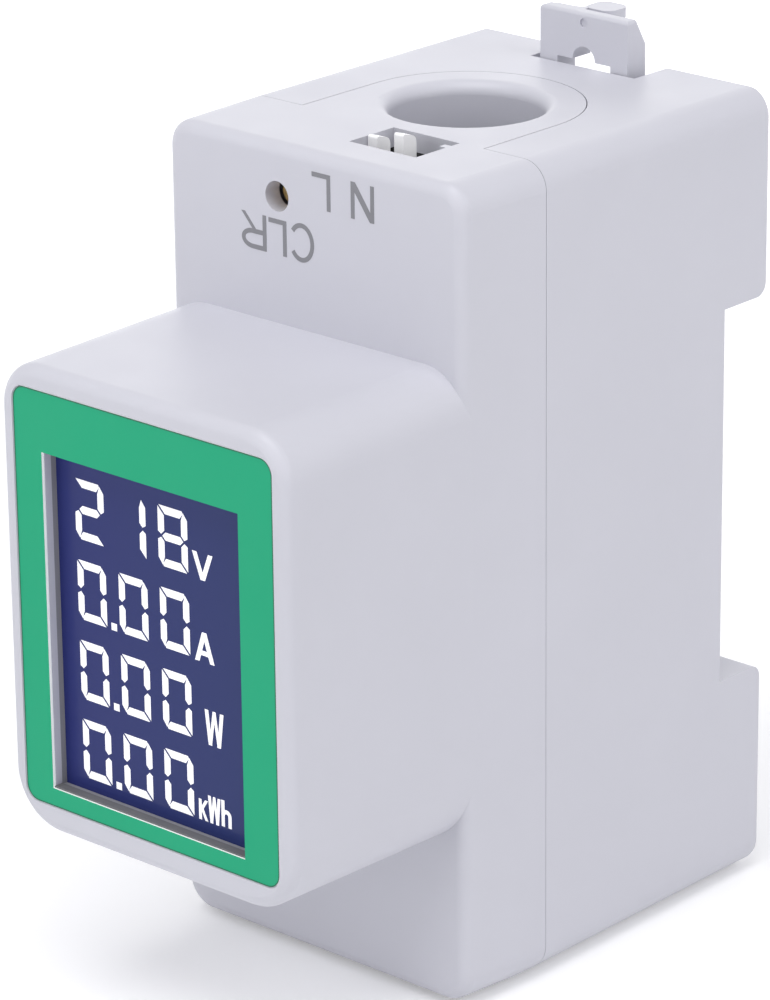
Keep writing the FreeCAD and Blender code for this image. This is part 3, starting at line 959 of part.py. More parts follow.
def make_chips():
    """Metering chip and crystal on the main board, display controller on the display board."""
    half = "chip_width / 2"
    parts = [box("ChipBody", (f"chip_x - {half}", f"chip_x + {half}"),
                 (f"{MAIN_BOARD_Y} - chip_tall", f"{MAIN_BOARD_Y} - fit_gap"),
                 ("chip_low", "chip_low + chip_length"))]
    for number in range(CHIP_PINS // 2):
        z = f"(chip_low + chip_length / 2 + ({number} - {(CHIP_PINS // 2 - 1) / 2}) * lead_pitch)"
        parts.append(box(f"ChipLegs{number}",
                         (f"chip_x - {half} - lead_reach", f"chip_x + {half} + lead_reach"),
                         (f"{MAIN_BOARD_Y} - lead_radius", MAIN_BOARD_Y),
                         (f"{z} - lead_radius / 2", f"{z} + lead_radius / 2")))
    node(fuse("Chip", parts), "metering_chip")
    half = "controller_width / 2"
    middle = f"(controller_low + {half})"
    parts = [box("ControllerBody", (f"controller_x - {half}", f"controller_x + {half}"),
                 (f"{DISPLAY_BOARD_BACK} + fit_gap", f"{DISPLAY_BOARD_BACK} + controller_tall"),
                 ("controller_low", "controller_low + controller_width"))]
    level = (DISPLAY_BOARD_BACK, f"{DISPLAY_BOARD_BACK} + lead_radius")
    for number in range(CONTROLLER_PINS):
        step = f"({number} - {(CONTROLLER_PINS - 1) / 2}) * controller_pitch"
        across, along = [((f"{centre} - {half} - lead_reach", f"{centre} + {half} + lead_reach"),
                          (f"{centre} + {step} - lead_radius / 2", f"{centre} + {step} + lead_radius / 2"))
                         for centre in ("controller_x", middle)]
        parts.append(box(f"ControllerRow{number}", across[0], level, along[1]))
        parts.append(box(f"ControllerColumn{number}", across[1], level, along[0]))
    node(fuse("Controller", parts), "display_controller")
    crystal = new_body("Crystal")
    pad(crystal, "can", "XZ", (f"{MAIN_BOARD_Y} - crystal_tall", MAIN_BOARD_Y),
        ("rounded", "crystal_width", "crystal_thick", "crystal_thick / 2 - fit_gap / 2"),
        ("crystal_x", "crystal_high"))
    node(crystal, "crystal")


make_rear_housing()
make_front_housing()
make_display()
make_main_board()
make_button()
make_terminal()
make_clip()
make_transformer()
make_header()
make_power_parts()
make_chips()
doc.recompute()

for item in doc.Objects:
    if {"Invalid", "Error"} & set(item.State):
        raise RuntimeError(f"{item.Name} is {item.State}: {item.getStatusString()}")
for item in NODES:
    if item.Shape.isNull() or not item.Shape.isValid():
        raise RuntimeError(f"{item.Label} has no valid shape")

os.makedirs("parts", exist_ok=True)
for item in NODES:
    item.Shape.exportStep(f"parts/{item.Label}.step")
    extent = item.Shape.BoundBox
    print(f"{item.Label}: {len(item.Shape.Solids)} solids, {item.Shape.Volume:.1f} mm3, "
          f"y {extent.YMin:.2f} to {extent.YMax:.2f}, z {extent.ZMin:.2f} to {extent.ZMax:.2f}")
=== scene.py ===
"""Looks of a rail mounted energy meter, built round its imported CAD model.

Places and sizes of pieces are in millimetres. The lights are placed in metres.
"""
import json
import math

import bpy
from mathutils import Matrix, Vector


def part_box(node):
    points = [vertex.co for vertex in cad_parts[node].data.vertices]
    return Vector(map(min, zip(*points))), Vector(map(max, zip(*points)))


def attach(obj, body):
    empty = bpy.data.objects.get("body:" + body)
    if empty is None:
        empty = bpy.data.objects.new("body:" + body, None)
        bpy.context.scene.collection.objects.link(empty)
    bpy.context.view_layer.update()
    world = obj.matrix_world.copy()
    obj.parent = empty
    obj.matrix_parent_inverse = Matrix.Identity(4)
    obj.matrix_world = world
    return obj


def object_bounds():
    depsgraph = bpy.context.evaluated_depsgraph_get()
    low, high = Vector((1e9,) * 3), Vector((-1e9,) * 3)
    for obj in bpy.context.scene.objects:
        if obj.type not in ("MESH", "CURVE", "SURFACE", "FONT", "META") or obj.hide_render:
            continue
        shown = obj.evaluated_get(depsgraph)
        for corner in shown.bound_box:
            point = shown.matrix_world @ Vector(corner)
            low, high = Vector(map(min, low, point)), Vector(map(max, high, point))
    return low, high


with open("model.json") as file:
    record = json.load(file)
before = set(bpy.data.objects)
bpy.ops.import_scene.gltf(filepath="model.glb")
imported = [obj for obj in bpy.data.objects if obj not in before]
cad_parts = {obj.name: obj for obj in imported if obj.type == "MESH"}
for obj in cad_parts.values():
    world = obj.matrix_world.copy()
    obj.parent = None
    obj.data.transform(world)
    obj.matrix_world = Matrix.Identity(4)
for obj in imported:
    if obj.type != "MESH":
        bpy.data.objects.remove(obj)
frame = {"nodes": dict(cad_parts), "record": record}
cad_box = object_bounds()
nodes = frame["nodes"]

MM = 0.001
WHITE = (1.0, 1.0, 1.0, 1.0)


# Materials

# Nearly all values of a noise lie between these two
NOISE_LOW = 0.3
NOISE_HIGH = 0.7

# Printed plate: its printed face looks forward, so its normal's Y is below this limit
FACE_LIMIT = -0.7
# Strength of the painted highlight that the plate's cut edges give off as emitted light
EDGE_PAINTED_HIGHLIGHT = 0.2

# The display's colour changes from one side to the other within this distance of the middle
WINDOW_HALF = 11.8


def set_values(node, values):
    """Set sockets of a node by their names."""
    for socket, value in values.items():
        node.inputs[socket].default_value = value


def new_material(name):
    """Material with its node tree, its Principled shader and object coordinates in millimetres."""
    material = bpy.data.materials.new(name)
    material.use_nodes = True
    tree = material.node_tree
    shader = tree.nodes["Principled BSDF"]
    place = tree.nodes.new("ShaderNodeTexCoord")
    scale = tree.nodes.new("ShaderNodeMapping")
    set_values(scale, {"Scale": (1 / MM, 1 / MM, 1 / MM)})
    tree.links.new(place.outputs["Object"], scale.inputs["Vector"])
    return material, tree, shader, scale.outputs["Vector"]


def noise(tree, vector, size, detail):
    """Noise whose grains are about size millimetres wide."""
    texture = tree.nodes.new("ShaderNodeTexNoise")
    set_values(texture, {"Scale": 1 / size, "Detail": detail})
    tree.links.new(vector, texture.inputs["Vector"])
    return texture.outputs["Fac"]


def ramp(tree, value, stops):
    """Colour ramp of two stops, each a position and a colour."""
    node = tree.nodes.new("ShaderNodeValToRGB")
    for element, (position, colour) in zip(node.color_ramp.elements, stops):
        element.position = position
        element.color = (*colour, 1)
    tree.links.new(value, node.inputs["Fac"])
    return node.outputs["Color"]


def map_range(tree, value, source, target):
    """Map a value from the source range to the target range."""
    node = tree.nodes.new("ShaderNodeMapRange")
    set_values(node, {"From Min": source[0], "From Max": source[1], "To Min": target[0], "To Max": target[1]})
    tree.links.new(value, node.inputs["Value"])
    return node.outputs["Result"]


def spread(tree, value, middle, change):
    """Map a noise to the values round a middle."""
    return map_range(tree, value, (NOISE_LOW, NOISE_HIGH), (middle - change, middle + change))


def bump(tree, shader, heights, distance):
    """Chain of bumps, each a height and its strength, on the shader's normal."""
    normal = None
    for height, strength in heights:
        node = tree.nodes.new("ShaderNodeBump")
        set_values(node, {"Strength": strength, "Distance": distance})
        tree.links.new(height, node.inputs["Height"])
        if normal:
            tree.links.new(normal, node.inputs["Normal"])
        normal = node.outputs["Normal"]
    tree.links.new(normal, shader.inputs["Normal"])


def shades(colour, amount):
    """A colour slightly darker and slightly lighter."""
    return [tuple(min(1.0, channel * factor) for channel in colour) for factor in (1 - amount, 1 + amount)]


def plastic(name, colour, roughness=0.45, grain=0.12, grain_strength=0.12, variation=0.012):
    """Moulded plastic: fine texture, slow change of tone and of gloss."""
    material, tree, shader, vector = new_material(name)
    dark, light = shades(colour, variation)
    patches = noise(tree, vector, size=14.0, detail=3.0)
    tree.links.new(ramp(tree, patches, [(NOISE_LOW, dark), (NOISE_HIGH, light)]), shader.inputs["Base Color"])
    gloss = spread(tree, noise(tree, vector, size=5.0, detail=4.0), roughness, change=0.04)
    tree.links.new(gloss, shader.inputs["Roughness"])
    fine = noise(tree, vector, size=grain, detail=2.0)
    broad = noise(tree, vector, size=3.5, detail=1.0)
    bump(tree, shader, [(fine, grain_strength), (broad, grain_strength * 0.6)], distance=0.02 * MM)
    set_values(shader, {"Specular IOR Level": 0.45})
    return material


def metal(name, colour, roughness=0.28, streak=(0.02, 0.02, 3.0)):
    """Drawn or plated metal with fine streaks, whose length along each axis is given."""
    material, tree, shader, vector = new_material(name)
    stretch = tree.nodes.new("ShaderNodeMapping")
    set_values(stretch, {"Scale": tuple(1 / length for length in streak)})
    tree.links.new(vector, stretch.inputs["Vector"])
    lines = noise(tree, stretch.outputs["Vector"], size=1.0, detail=2.0)
    dark, light = shades(colour, 0.06)
    tree.links.new(ramp(tree, lines, [(NOISE_LOW, dark), (NOISE_HIGH, light)]), shader.inputs["Base Color"])
    tree.links.new(spread(tree, lines, roughness, change=0.06), shader.inputs["Roughness"])
    set_values(shader, {"Metallic": 1.0})
    bump(tree, shader, [(lines, 0.15)], distance=0.01 * MM)
    return material


def laminate(name, colour):
    """Circuit board with solder resist over a weave and copper tracks."""
    material, tree, shader, vector = new_material(name)
    dark, light = shades(colour, 0.2)
    tracks = tree.nodes.new("ShaderNodeTexBrick")
    set_values(tracks, {"Scale": 0.35, "Mortar Size": 0.06, "Color1": (*colour, 1), "Color2": (*light, 1),
                        "Mortar": (*dark, 1)})
    tree.links.new(vector, tracks.inputs["Vector"])
    tree.links.new(tracks.outputs["Color"], shader.inputs["Base Color"])
    set_values(shader, {"Roughness": 0.32})
    weave = noise(tree, vector, size=0.4, detail=2.0)
    bump(tree, shader, [(weave, 0.2), (tracks.outputs["Fac"], 0.3)], distance=0.03 * MM)
    return material


def display_glass(name, left, right):
    """Blue display under clear glass, a little less deep towards the right."""
    material, tree, shader, vector = new_material(name)
    axes = tree.nodes.new("ShaderNodeSeparateXYZ")
    tree.links.new(vector, axes.inputs["Vector"])
    across = map_range(tree, axes.outputs["X"], (-WINDOW_HALF, WINDOW_HALF), (0.0, 1.0))
    tone = ramp(tree, across, [(0.0, left), (1.0, right)])
    tree.links.new(tone, shader.inputs["Base Color"])
    tree.links.new(tone, shader.inputs["Emission Color"])
    set_values(shader, {"Emission Strength": 0.15, "Roughness": 0.5, "Specular IOR Level": 0.15,
                        "Coat Weight": 0.23, "Coat Roughness": 0.04})
    bump(tree, shader, [(noise(tree, vector, size=0.15, detail=1.0), 0.03)], distance=0.01 * MM)
    return material


def printed_plate(name, colour, edge_colour):
    """Thin plate printed on its face, whose cut edges show the pale sheet and carry a painted highlight: they
    give off light as if a lamp caught them.
    """
    material = plastic(name, colour, roughness=0.5, grain=0.08, grain_strength=0.04)
    tree = material.node_tree
    shader = tree.nodes["Principled BSDF"]
    tone = shader.inputs["Base Color"].links[0].from_socket
    place = tree.nodes.new("ShaderNodeTexCoord")
    axes = tree.nodes.new("ShaderNodeSeparateXYZ")
    tree.links.new(place.outputs["Normal"], axes.inputs["Vector"])
    on_face = tree.nodes.new("ShaderNodeMath")
    on_face.operation = "LESS_THAN"
    on_face.inputs[1].default_value = FACE_LIMIT
    tree.links.new(axes.outputs["Y"], on_face.inputs[0])
    mix = tree.nodes.new("ShaderNodeMix")
    mix.data_type = "RGBA"
    mix.inputs["A"].default_value = (*edge_colour, 1)
    tree.links.new(on_face.outputs["Value"], mix.inputs["Factor"])
    tree.links.new(tone, mix.inputs["B"])
    tree.links.new(mix.outputs["Result"], shader.inputs["Base Color"])
    # Painted highlight: the cut edges give off light in their pale colour
    painted_edge_highlight = map_range(tree, on_face.outputs["Value"], (0.0, 1.0), (EDGE_PAINTED_HIGHLIGHT, 0.0))
    tree.links.new(painted_edge_highlight, shader.inputs["Emission Strength"])
    set_values(shader, {"Emission Color": (*edge_colour, 1), "Specular IOR Level": 0.22})
    return material


def lit(name, colour, strength):
    """Bright display segment, shining by the display's backlight, or plastic whose emission is painted light
    standing in for lamplight that falls on it.
    """
    material, tree, shader, vector = new_material(name)
    dark = shades(colour, 0.04)[0]
    cloud = ramp(tree, noise(tree, vector, size=1.2, detail=2.0), [(0.2, dark), (0.8, colour)])
    tree.links.new(cloud, shader.inputs["Base Color"])
    tree.links.new(cloud, shader.inputs["Emission Color"])
    set_values(shader, {"Emission Strength": strength, "Roughness": 0.4})
    return material


housing = plastic("housing_grey", (0.64, 0.64, 0.695))
LOOKS = {
    "housing_plastic": housing,
    # Painted light: the levers give off light so that they look lit, though they sit in the shaded opening
    "lever_plastic": lit("lever_painted_light", (0.95, 0.95, 0.955), strength=0.15),
    "green_plate": printed_plate("plate_green", (0.0142, 0.405, 0.205), edge_colour=(0.93, 0.96, 0.94)),
    "display_glass": display_glass("display_blue", left=(0.018, 0.025, 0.135), right=(0.018, 0.03, 0.122)),
    "white_plastic": plastic("light_white", (0.8, 0.8, 0.8), roughness=0.5),
    "grey_plastic": plastic("frame_grey", (0.3, 0.3, 0.315), roughness=0.5, grain_strength=0.05),
    "black_plastic": plastic("black_moulded", (0.018, 0.018, 0.02), roughness=0.5, variation=0.1),
    "board": laminate("board_green", (0.02, 0.12, 0.05)),
    "steel": metal("plated_steel", (0.62, 0.62, 0.64)),
    "brass": metal("gilt_brass", (0.78, 0.56, 0.24)),
    "copper": metal("enamelled_copper", (0.6, 0.25, 0.1), roughness=0.35, streak=(3.0, 3.0, 0.12)),
    "capacitor_film": plastic("film_box", (0.5, 0.33, 0.02), roughness=0.4),
    "varnish": plastic("dipped_blue", (0.03, 0.08, 0.3), roughness=0.25, grain_strength=0.04),
}


def dress_nodes():
    """Give each CAD node the material of its slot."""
    for part in frame["record"]["subparts"]:
        node = nodes[part["node"]]
        node.data.materials.clear()
        node.data.materials.append(LOOKS[part["material_slot"]])


dress_nodes()


# Meshes from outlines

def corner(node, end):
    """Lower corner of a node's box for end 0, upper corner for end 1."""
    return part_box(node)[end] / MM


def prism_faces(start, count):
    """Faces between two outlines of count vertices, which follow each other from the vertex start."""
    near, far = range(start, start + count), range(start + count, start + 2 * count)
    faces = [list(near), list(reversed(far))]
    for index in range(count):
        after = (index + 1) % count
        faces.append([near[after], near[index], far[index], far[after]])
    return faces


def add_object(name, vertices, faces, material):
    """Object in the scene with a mesh of the given vertices and faces."""
    mesh = bpy.data.meshes.new(name)
    mesh.from_pydata([tuple(length * MM for length in vertex) for vertex in vertices], [], faces)
    mesh.validate()
    obj = bpy.data.objects.new(name, mesh)
    bpy.context.scene.collection.objects.link(obj)
    mesh.materials.append(material)
    return obj


def flat_piece(name, outlines, y, thickness, material, body):
    """Thin plates with the given outlines in the XZ plane, from y backwards, as one mesh."""
    vertices, faces = [], []
    for outline in outlines:
        faces += prism_faces(len(vertices), len(outline))
        vertices += [(x, y + depth, z) for depth in (0, thickness) for x, z in outline]
    obj = add_object(name, vertices, faces, material)
    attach(obj, body)


def rectangle(left, low, right, high):
    """Outline of an upright rectangle."""
    return [(left, low), (right, low), (right, high), (left, high)]


def moved(outlines, x, z):
    """Outlines moved by x and z."""
    return [[(x + px, z + pz) for px, pz in outline] for outline in outlines]


def half_turn(outline, centre):
    """An outline turned by half a turn about a centre."""
    return [(2 * centre[0] - x, 2 * centre[1] - z) for x, z in outline]


def bar(start, end, width):
    """Stroke of a letter, level or as a slanted bar with level ends."""
    (x0, z0), (x1, z1) = start, end
    half = width / 2
    if z0 == z1:
        return rectangle(x0, z0 - half, x1, z1 + half)
    lean = half * math.hypot(x1 - x0, z1 - z0) / abs(z1 - z0)
    return [(x0 - lean, z0), (x0 + lean, z0), (x1 + lean, z1), (x1 - lean, z1)]


def arc_strip(centre, radii, angles, width, steps=20):
    """Curved stroke between two angles, as a row of four-sided outlines."""
    (cx, cz), (rx, rz) = centre, radii
    turns = [math.radians(angles[0] + (angles[1] - angles[0]) * index / steps) for index in range(steps + 1)]
    half = width / 2
    outer = [(cx + (rx + half) * math.cos(t), cz + (rz + half) * math.sin(t)) for t in turns]
    inner = [(cx + (rx - half) * math.cos(t), cz + (rz - half) * math.sin(t)) for t in turns]
    return [[outer[i], inner[i], inner[i + 1], outer[i + 1]] for i in range(steps)]


# Digits: size, stroke, slit between two segments and cut of the outer corners
DIGIT_WIDTH = 3.52
DIGIT_HEIGHT = 5.6
STROKE = 0.74
SLIT = 0.14
CORNER_CUT = 0.62
SEGMENTS = {"0": "abcdef", "1": "bc", "2": "abged", "8": "abcdefg"}


def segment(key):
    """Outline of one bar of a seven segment digit, from the digit's lower left corner."""
    w, h, t, g = DIGIT_WIDTH, DIGIT_HEIGHT, STROKE, SLIT
    middle, half, cut = h / 2, t / 2, CORNER_CUT
    outlines = {
        "a": [(g, h), (w - cut, h), (w - half - g, h - half + g), (w - t - g, h - t), (t + g, h - t)],
        "b": [(w - cut + g, h - g), (w, h - cut - g), (w, middle + half), (w - half, middle + g),
              (w - t, middle + half + g), (w - t, h - t - g)],
        "f": [(0, h - g), (t, h - t - g), (t, middle + half + g), (half, middle + g), (0, middle + half)],
        "g": [(half + g, middle), (t + g, middle + half), (w - t - g, middle + half), (w - half - g, middle),
              (w - t - g, middle - half), (t + g, middle - half)],
    }
    opposite = {"d": "a", "e": "b", "c": "f"}
    if key in opposite:
        return half_turn(outlines[opposite[key]], (w / 2, middle))
    return outlines[key]


def digit(character, x, z):
    """Outlines of a digit with its lower left corner at x, z."""
    return moved([segment(key) for key in SEGMENTS[character]], x, z)


def letter(character, x, z, width, height, stroke):
    """Outlines of a letter with its lower left corner at x, z."""
    h, w, s = height, width, stroke
    thin, middle = s * 0.9, w / 2
    first, last = s / 2, w - s / 2
    inner_stroke, left_dip, right_dip = s * 0.8, w * 0.27, w * 0.73
    slant = s * 1.15
    arch = h * 0.42
    waist, bowl = h * 0.44, w * 0.55
    strips = {
        "V": [bar((first, h), (middle, 0), s), bar((last, h), (middle, 0), s)],
        "A": [bar((first, 0), (middle, h), s), bar((last, 0), (middle, h), s),
              bar((w * 0.25, h * 0.3), (w * 0.75, h * 0.3), thin)],
        "W": [bar((first, h), (left_dip, 0), s), bar((left_dip, 0), (middle, h), inner_stroke),
              bar((middle, h), (right_dip, 0), inner_stroke), bar((last, h), (right_dip, 0), s)],
        "N": [[(0, 0), (s, 0), (s, h * 0.74), (w - slant, 0), (w, 0),
               (w, h), (w - s, h), (w - s, h * 0.26), (slant, h), (0, h)]],
        "L": [[(0, 0), (w, 0), (w, s), (s, s), (s, h), (0, h)]],
        "k": [bar((first, 0), (first, h), s), bar((first, h * 0.4), (last, h), thin),
              bar((w * 0.35, h * 0.55), (last, 0), thin)],
        "h": [bar((first, 0), (first, h), s), bar((last, 0), (last, arch), s)]
             + arc_strip((middle, arch), (middle - first, h * 0.16), (0, 180), s),
        "C": arc_strip((middle, h / 2), (middle - first, h / 2 - first), (36, 324), s, 40),
        "R": [rectangle(0, 0, s, h), rectangle(s, h - s, bowl, h), rectangle(s, waist, bowl, waist + s),
              [(w * 0.42, waist), (w - s, 0), (w, 0), (w * 0.42 + s, waist)]]
             + arc_strip((bowl, h * 0.72), (w * 0.45 - first, h * 0.28 - first), (-90, 90), s),
    }[character]
    return moved(strips, x, z)


# Display: rows as the upper edge of their digits, their value and their unit
ROWS = ((50.68, "218", "V"), (43.08, "0.00", "A"), (35.46, "0.00", "W"), (27.9, "0.00", "kWh"))
# Left sides of the three digits of a row
COLUMNS = (-9.86, -4.76, 0.27)
# Each unit letter: character, left side, lower edge above the row's digits, width, height, stroke
UNITS = {
    "V": [("V", 4.32, -0.15, 2.4, 2.5, 0.5)],
    "A": [("A", 4.37, -0.15, 2.3, 2.75, 0.5)],
    "W": [("W", 5.36, -0.15, 2.25, 3.25, 0.42)],
    "kWh": [
        ("k", 4.37, 0.0, 1.1, 1.95, 0.34),
        ("W", 5.5, 0.0, 1.5, 2.55, 0.34),
        ("h", 7.1, 0.1, 1.2, 2.5, 0.38),
    ],
}
DOT = 0.68
DOT_X = -5.82
DOT_DROP = 0.05
DIGIT_LIFT = 0.04
DIGIT_THICK = 0.02


def display_rows():
    """Digits, points and unit letters of the four rows, just in front of the glass."""
    outlines = []
    for top, value, unit in ROWS:
        low = top - DIGIT_HEIGHT
        for column, character in zip(COLUMNS, value.replace(".", "")):
            outlines += digit(character, column, low)
        if "." in value:
            dot_low = low - DOT_DROP
            outlines.append(rectangle(DOT_X, dot_low, DOT_X + DOT, dot_low + DOT))
        for character, x, z, width, height, stroke in UNITS[unit]:
            outlines += letter(character, x, low + z, width, height, stroke)
    flat_piece("display_rows", outlines, corner("lcd_panel", 0).y - DIGIT_LIFT, DIGIT_THICK,
               lit("segment_white", (0.9, 0.9, 0.92), strength=0.35), "housing")


# Painted shadow round the plate: the plate's corner radius, the shadow line's width, thickness and steps of
# an arc
PLATE_RADIUS = 1.4
BORDER = 0.11
BORDER_SKIN = 0.015
BORDER_STEPS = 8


def plate_gap_shadow():
    """Painted shadow: a dark line round the plate's face, standing in for the shadow in the gap between the
    plate and the housing.
    """
    plate_low, plate_high = corner("face_plate", 0), corner("face_plate", 1)
    left, low, right, high = plate_low.x, plate_low.z, plate_high.x, plate_high.z
    arc_left, arc_right = left + PLATE_RADIUS, right - PLATE_RADIUS
    arc_low, arc_high = low + PLATE_RADIUS, high - PLATE_RADIUS
    outlines = [
        rectangle(left, arc_low, left + BORDER, arc_high),
        rectangle(right - BORDER, arc_low, right, arc_high),
        rectangle(arc_left, low, arc_right, low + BORDER),
        rectangle(arc_left, high - BORDER, arc_right, high),
    ]
    radius = PLATE_RADIUS - BORDER / 2
    centres = ((arc_right, arc_high), (arc_left, arc_high), (arc_left, arc_low), (arc_right, arc_low))
    for centre, start in zip(centres, (0, 90, 180, 270)):
        outlines += arc_strip(centre, (radius, radius), (start, start + 90), BORDER, BORDER_STEPS)
    flat_piece("plate_gap_shadow", outlines, plate_low.y - BORDER_SKIN, BORDER_SKIN,
               plastic("border_painted_shadow", (0.006, 0.15, 0.075), roughness=0.5, grain_strength=0.04),
               "housing")


# Painted shade on the window's lower wall: the window's sides and its lower wall, and the size of the dark
# sheet
WINDOW_LEFT = -12.15
WINDOW_RIGHT = 11.45
WINDOW_LOW = 21.05
SHADE_DEPTH = 0.93
SHADE_THICK = 0.15


def window_wall_shade():
    """Dark sheet on the window's lower wall, in front of the display's frame: painted shade where that wall
    lies in shadow.
    """
    frame_front = corner("lcd_holder", 0).y
    outline = rectangle(WINDOW_LEFT, WINDOW_LOW, WINDOW_RIGHT, WINDOW_LOW + SHADE_THICK)
    flat_piece("window_wall_shade", [outline], frame_front - SHADE_DEPTH, SHADE_DEPTH,
               plastic("wall_painted_shade", (0.15, 0.15, 0.155), roughness=0.6, grain_strength=0.05),
               "housing")


# Thumb rest of the clip: its outline in the XY plane and its two levels
REST_OUTLINE = (
    (-4.88, 27.9), (-4.86, 28.3), (-4.6, 28.58), (-4.14, 28.73), (-3.38, 28.76), (-2.4, 28.79),
    (-1.95, 28.9), (-1.7, 29.1), (-1.55, 29.4), (-1.2, 29.6), (-1.0, 29.2), (-1.0, 27.9),
)
REST_LEVELS = (81.75, 82.67)


def thumb_rest():
    """Lip behind the clip's head, which runs into its tab."""
    vertices = [(x, y, z) for z in REST_LEVELS for x, y in REST_OUTLINE]
    obj = add_object("thumb_rest", vertices, prism_faces(0, len(REST_OUTLINE)), housing)
    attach(obj, "clip")


# Marks on the ledge, printed upside down: character, left and right side, lower and upper edge
MARKS = (
    ("N", (4.7, 7.42), (72.5, 75.85)),
    ("L", (0.1, 2.28), (72.55, 75.88)),
    ("R", (-8.5, -5.5), (67.35, 70.68)),
    ("L", (-5.2, -3.06), (67.35, 70.65)),
    ("C", (-2.75, 0.25), (67.25, 70.85)),
)
MARK_STROKE = 0.43
MARK_SKIN = 0.03
LEDGE_FACE = -10.0


def ledge_marks():
    """N and L beside the terminal and CLR beside the button."""
    outlines = []
    for character, (x0, x1), (z0, z1) in MARKS:
        centre = (x0 + x1) / 2, (z0 + z1) / 2
        upright = letter(character, x0, z0, x1 - x0, z1 - z0, MARK_STROKE)
        outlines += [half_turn(outline, centre) for outline in upright]
    flat_piece("ledge_marks", outlines, LEDGE_FACE - MARK_SKIN, MARK_SKIN,
               plastic("mark_grey", (0.235, 0.235, 0.255), roughness=0.5, grain_strength=0.06,
                       variation=0.05),
               "housing")


display_rows()
plate_gap_shadow()
window_wall_shade()
thumb_rest()
ledge_marks()


# Camera, lights and floor

# Camera fitted to the photograph: place, view direction, roll, and focal length and middle in pixels
CAMERA_PLACE = Vector((276.186, -304.495, 195.175)) * MM
CAMERA_AHEAD = Vector((-0.60461478, 0.72252442, -0.33526026))
CAMERA_ROLL = 0.0028
FOCAL_PIXELS = 4808.28
PRINCIPAL = (571.467, 432.231)
IMAGE = (770, 1000)
SENSOR = 36.0
CLIP_START = 0.01
CLIP_END = 10.0
UP = Vector((0, 0, 1))


def add_camera():
    """Camera at the photograph's place, with the shift that its framing needs."""
    camera = bpy.data.objects.new("camera", bpy.data.cameras.new("camera"))
    bpy.context.scene.collection.objects.link(camera)
    right = CAMERA_AHEAD.cross(UP).normalized()
    up = right.cross(CAMERA_AHEAD)
    turned_right = right * math.cos(CAMERA_ROLL) + up * math.sin(CAMERA_ROLL)
    turned_up = up * math.cos(CAMERA_ROLL) - right * math.sin(CAMERA_ROLL)
    axes = Matrix((turned_right, turned_up, -CAMERA_AHEAD)).transposed()
    camera.matrix_world = Matrix.Translation(CAMERA_PLACE) @ axes.to_4x4()
    camera.data.sensor_width = SENSOR
    camera.data.sensor_height = SENSOR
    camera.data.sensor_fit = "VERTICAL"
    camera.data.lens = FOCAL_PIXELS / IMAGE[1] * SENSOR
    camera.data.shift_x = (IMAGE[0] / 2 - PRINCIPAL[0]) / IMAGE[1]
    camera.data.shift_y = (PRINCIPAL[1] - IMAGE[1] / 2) / IMAGE[1]
    camera.data.clip_start = CLIP_START
    camera.data.clip_end = CLIP_END
    bpy.context.scene.camera = camera


# Lights: name, place in metres and power in watts
LIGHTS = (
    ("key", (0.1, -0.4, 1.3), 9.0),
    ("front", (-0.3, -1.2, 0.3), 3.9),
    ("side", (1.1, 0.2, 0.6), 4.0),
    ("back", (-0.7, 0.9, 0.25), 2.5),
)
LIGHT_SIZE = 0.9
LIGHT_AIM = Vector((0.0, 0.0, 0.04))


def add_light(name, place, power):
    """Square soft light aimed at the meter."""
    data = bpy.data.lights.new(name, "AREA")
    data.size = LIGHT_SIZE
    data.energy = power
    light = bpy.data.objects.new(name, data)
    light.location = place
    light.rotation_euler = (LIGHT_AIM - Vector(place)).to_track_quat("-Z", "Y").to_euler()
    bpy.context.scene.collection.objects.link(light)


def shown_rays(tree):
    """One for rays that show the background: camera, glossy and transmission rays."""
    rays = tree.nodes.new("ShaderNodeLightPath")
    total = rays.outputs["Is Camera Ray"]
    for kind in ("Is Glossy Ray", "Is Transmission Ray"):
        joined = tree.nodes.new("ShaderNodeMath")
        joined.operation = "MAXIMUM"
        tree.links.new(total, joined.inputs[0])
        tree.links.new(rays.outputs[kind], joined.inputs[1])
        total = joined.outputs[0]
    return total


FILL_COLOUR = (0.93, 0.93, 1.0, 1.0)
FILL_STRENGTH = 0.4


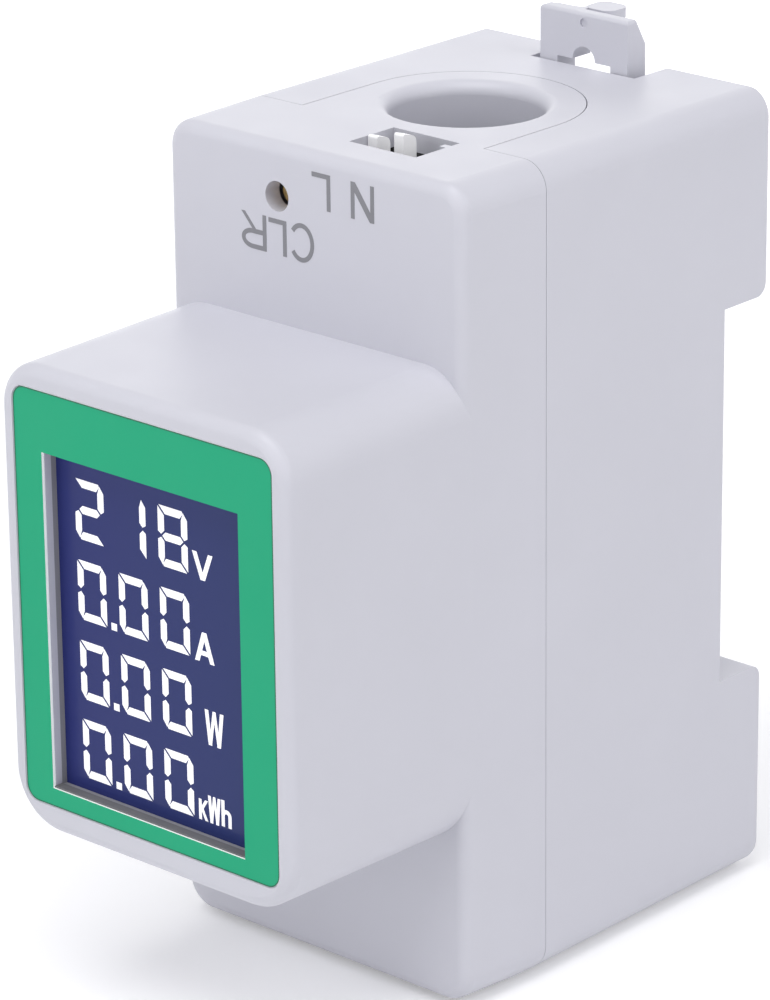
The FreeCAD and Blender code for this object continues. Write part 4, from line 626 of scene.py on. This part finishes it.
def add_world():
    """White for the camera, glossy and transmission rays, soft bluish light for the rest."""
    world = bpy.data.worlds.new("studio")
    world.use_nodes = True
    tree = world.node_tree
    tree.nodes.clear()
    output = tree.nodes.new("ShaderNodeOutputWorld")
    fill, shown = tree.nodes.new("ShaderNodeBackground"), tree.nodes.new("ShaderNodeBackground")
    set_values(fill, {"Color": FILL_COLOUR, "Strength": FILL_STRENGTH})
    set_values(shown, {"Color": WHITE})
    mix = tree.nodes.new("ShaderNodeMixShader")
    tree.links.new(shown_rays(tree), mix.inputs["Fac"])
    tree.links.new(fill.outputs["Background"], mix.inputs[1])
    tree.links.new(shown.outputs["Background"], mix.inputs[2])
    tree.links.new(mix.outputs["Shader"], output.inputs["Surface"])
    bpy.context.scene.world = world


# Floor: half its side, its gap below the meter, and where its own white starts to grow and is full
FLOOR_HALF = 1500.0
FLOOR_GAP = 0.2
FLOOR_LIFT = 0.22
FLOOR_NEAR = 180.0
FLOOR_FAR = 600.0


def add_floor():
    """Pale floor that the meter stands on, which fades into the white background."""
    material, tree, shader, vector = new_material("floor_white")
    set_values(shader, {"Base Color": (0.95, 0.95, 0.95, 1), "Roughness": 0.9, "Specular IOR Level": 0.1,
                        "Emission Color": WHITE})
    away = tree.nodes.new("ShaderNodeVectorMath")
    away.operation = "LENGTH"
    tree.links.new(vector, away.inputs[0])
    lift = tree.nodes.new("ShaderNodeMath")
    lift.operation = "MULTIPLY"
    fade = map_range(tree, away.outputs["Value"], (FLOOR_NEAR, FLOOR_FAR), (FLOOR_LIFT, 1.0))
    tree.links.new(shown_rays(tree), lift.inputs[0])
    tree.links.new(fade, lift.inputs[1])
    tree.links.new(lift.outputs["Value"], shader.inputs["Emission Strength"])
    outline = rectangle(-FLOOR_HALF, -FLOOR_HALF, FLOOR_HALF, FLOOR_HALF)
    floor = add_object("floor", [(x, y, 0) for x, y in outline], [(0, 1, 2, 3)], material)
    floor.location.z = cad_box[0][2] - FLOOR_GAP * MM


add_camera()
for light_name, light_place, light_power in LIGHTS:
    add_light(light_name, light_place, light_power)
add_world()
add_floor()
bpy.context.scene.view_settings.view_transform = "Standard"
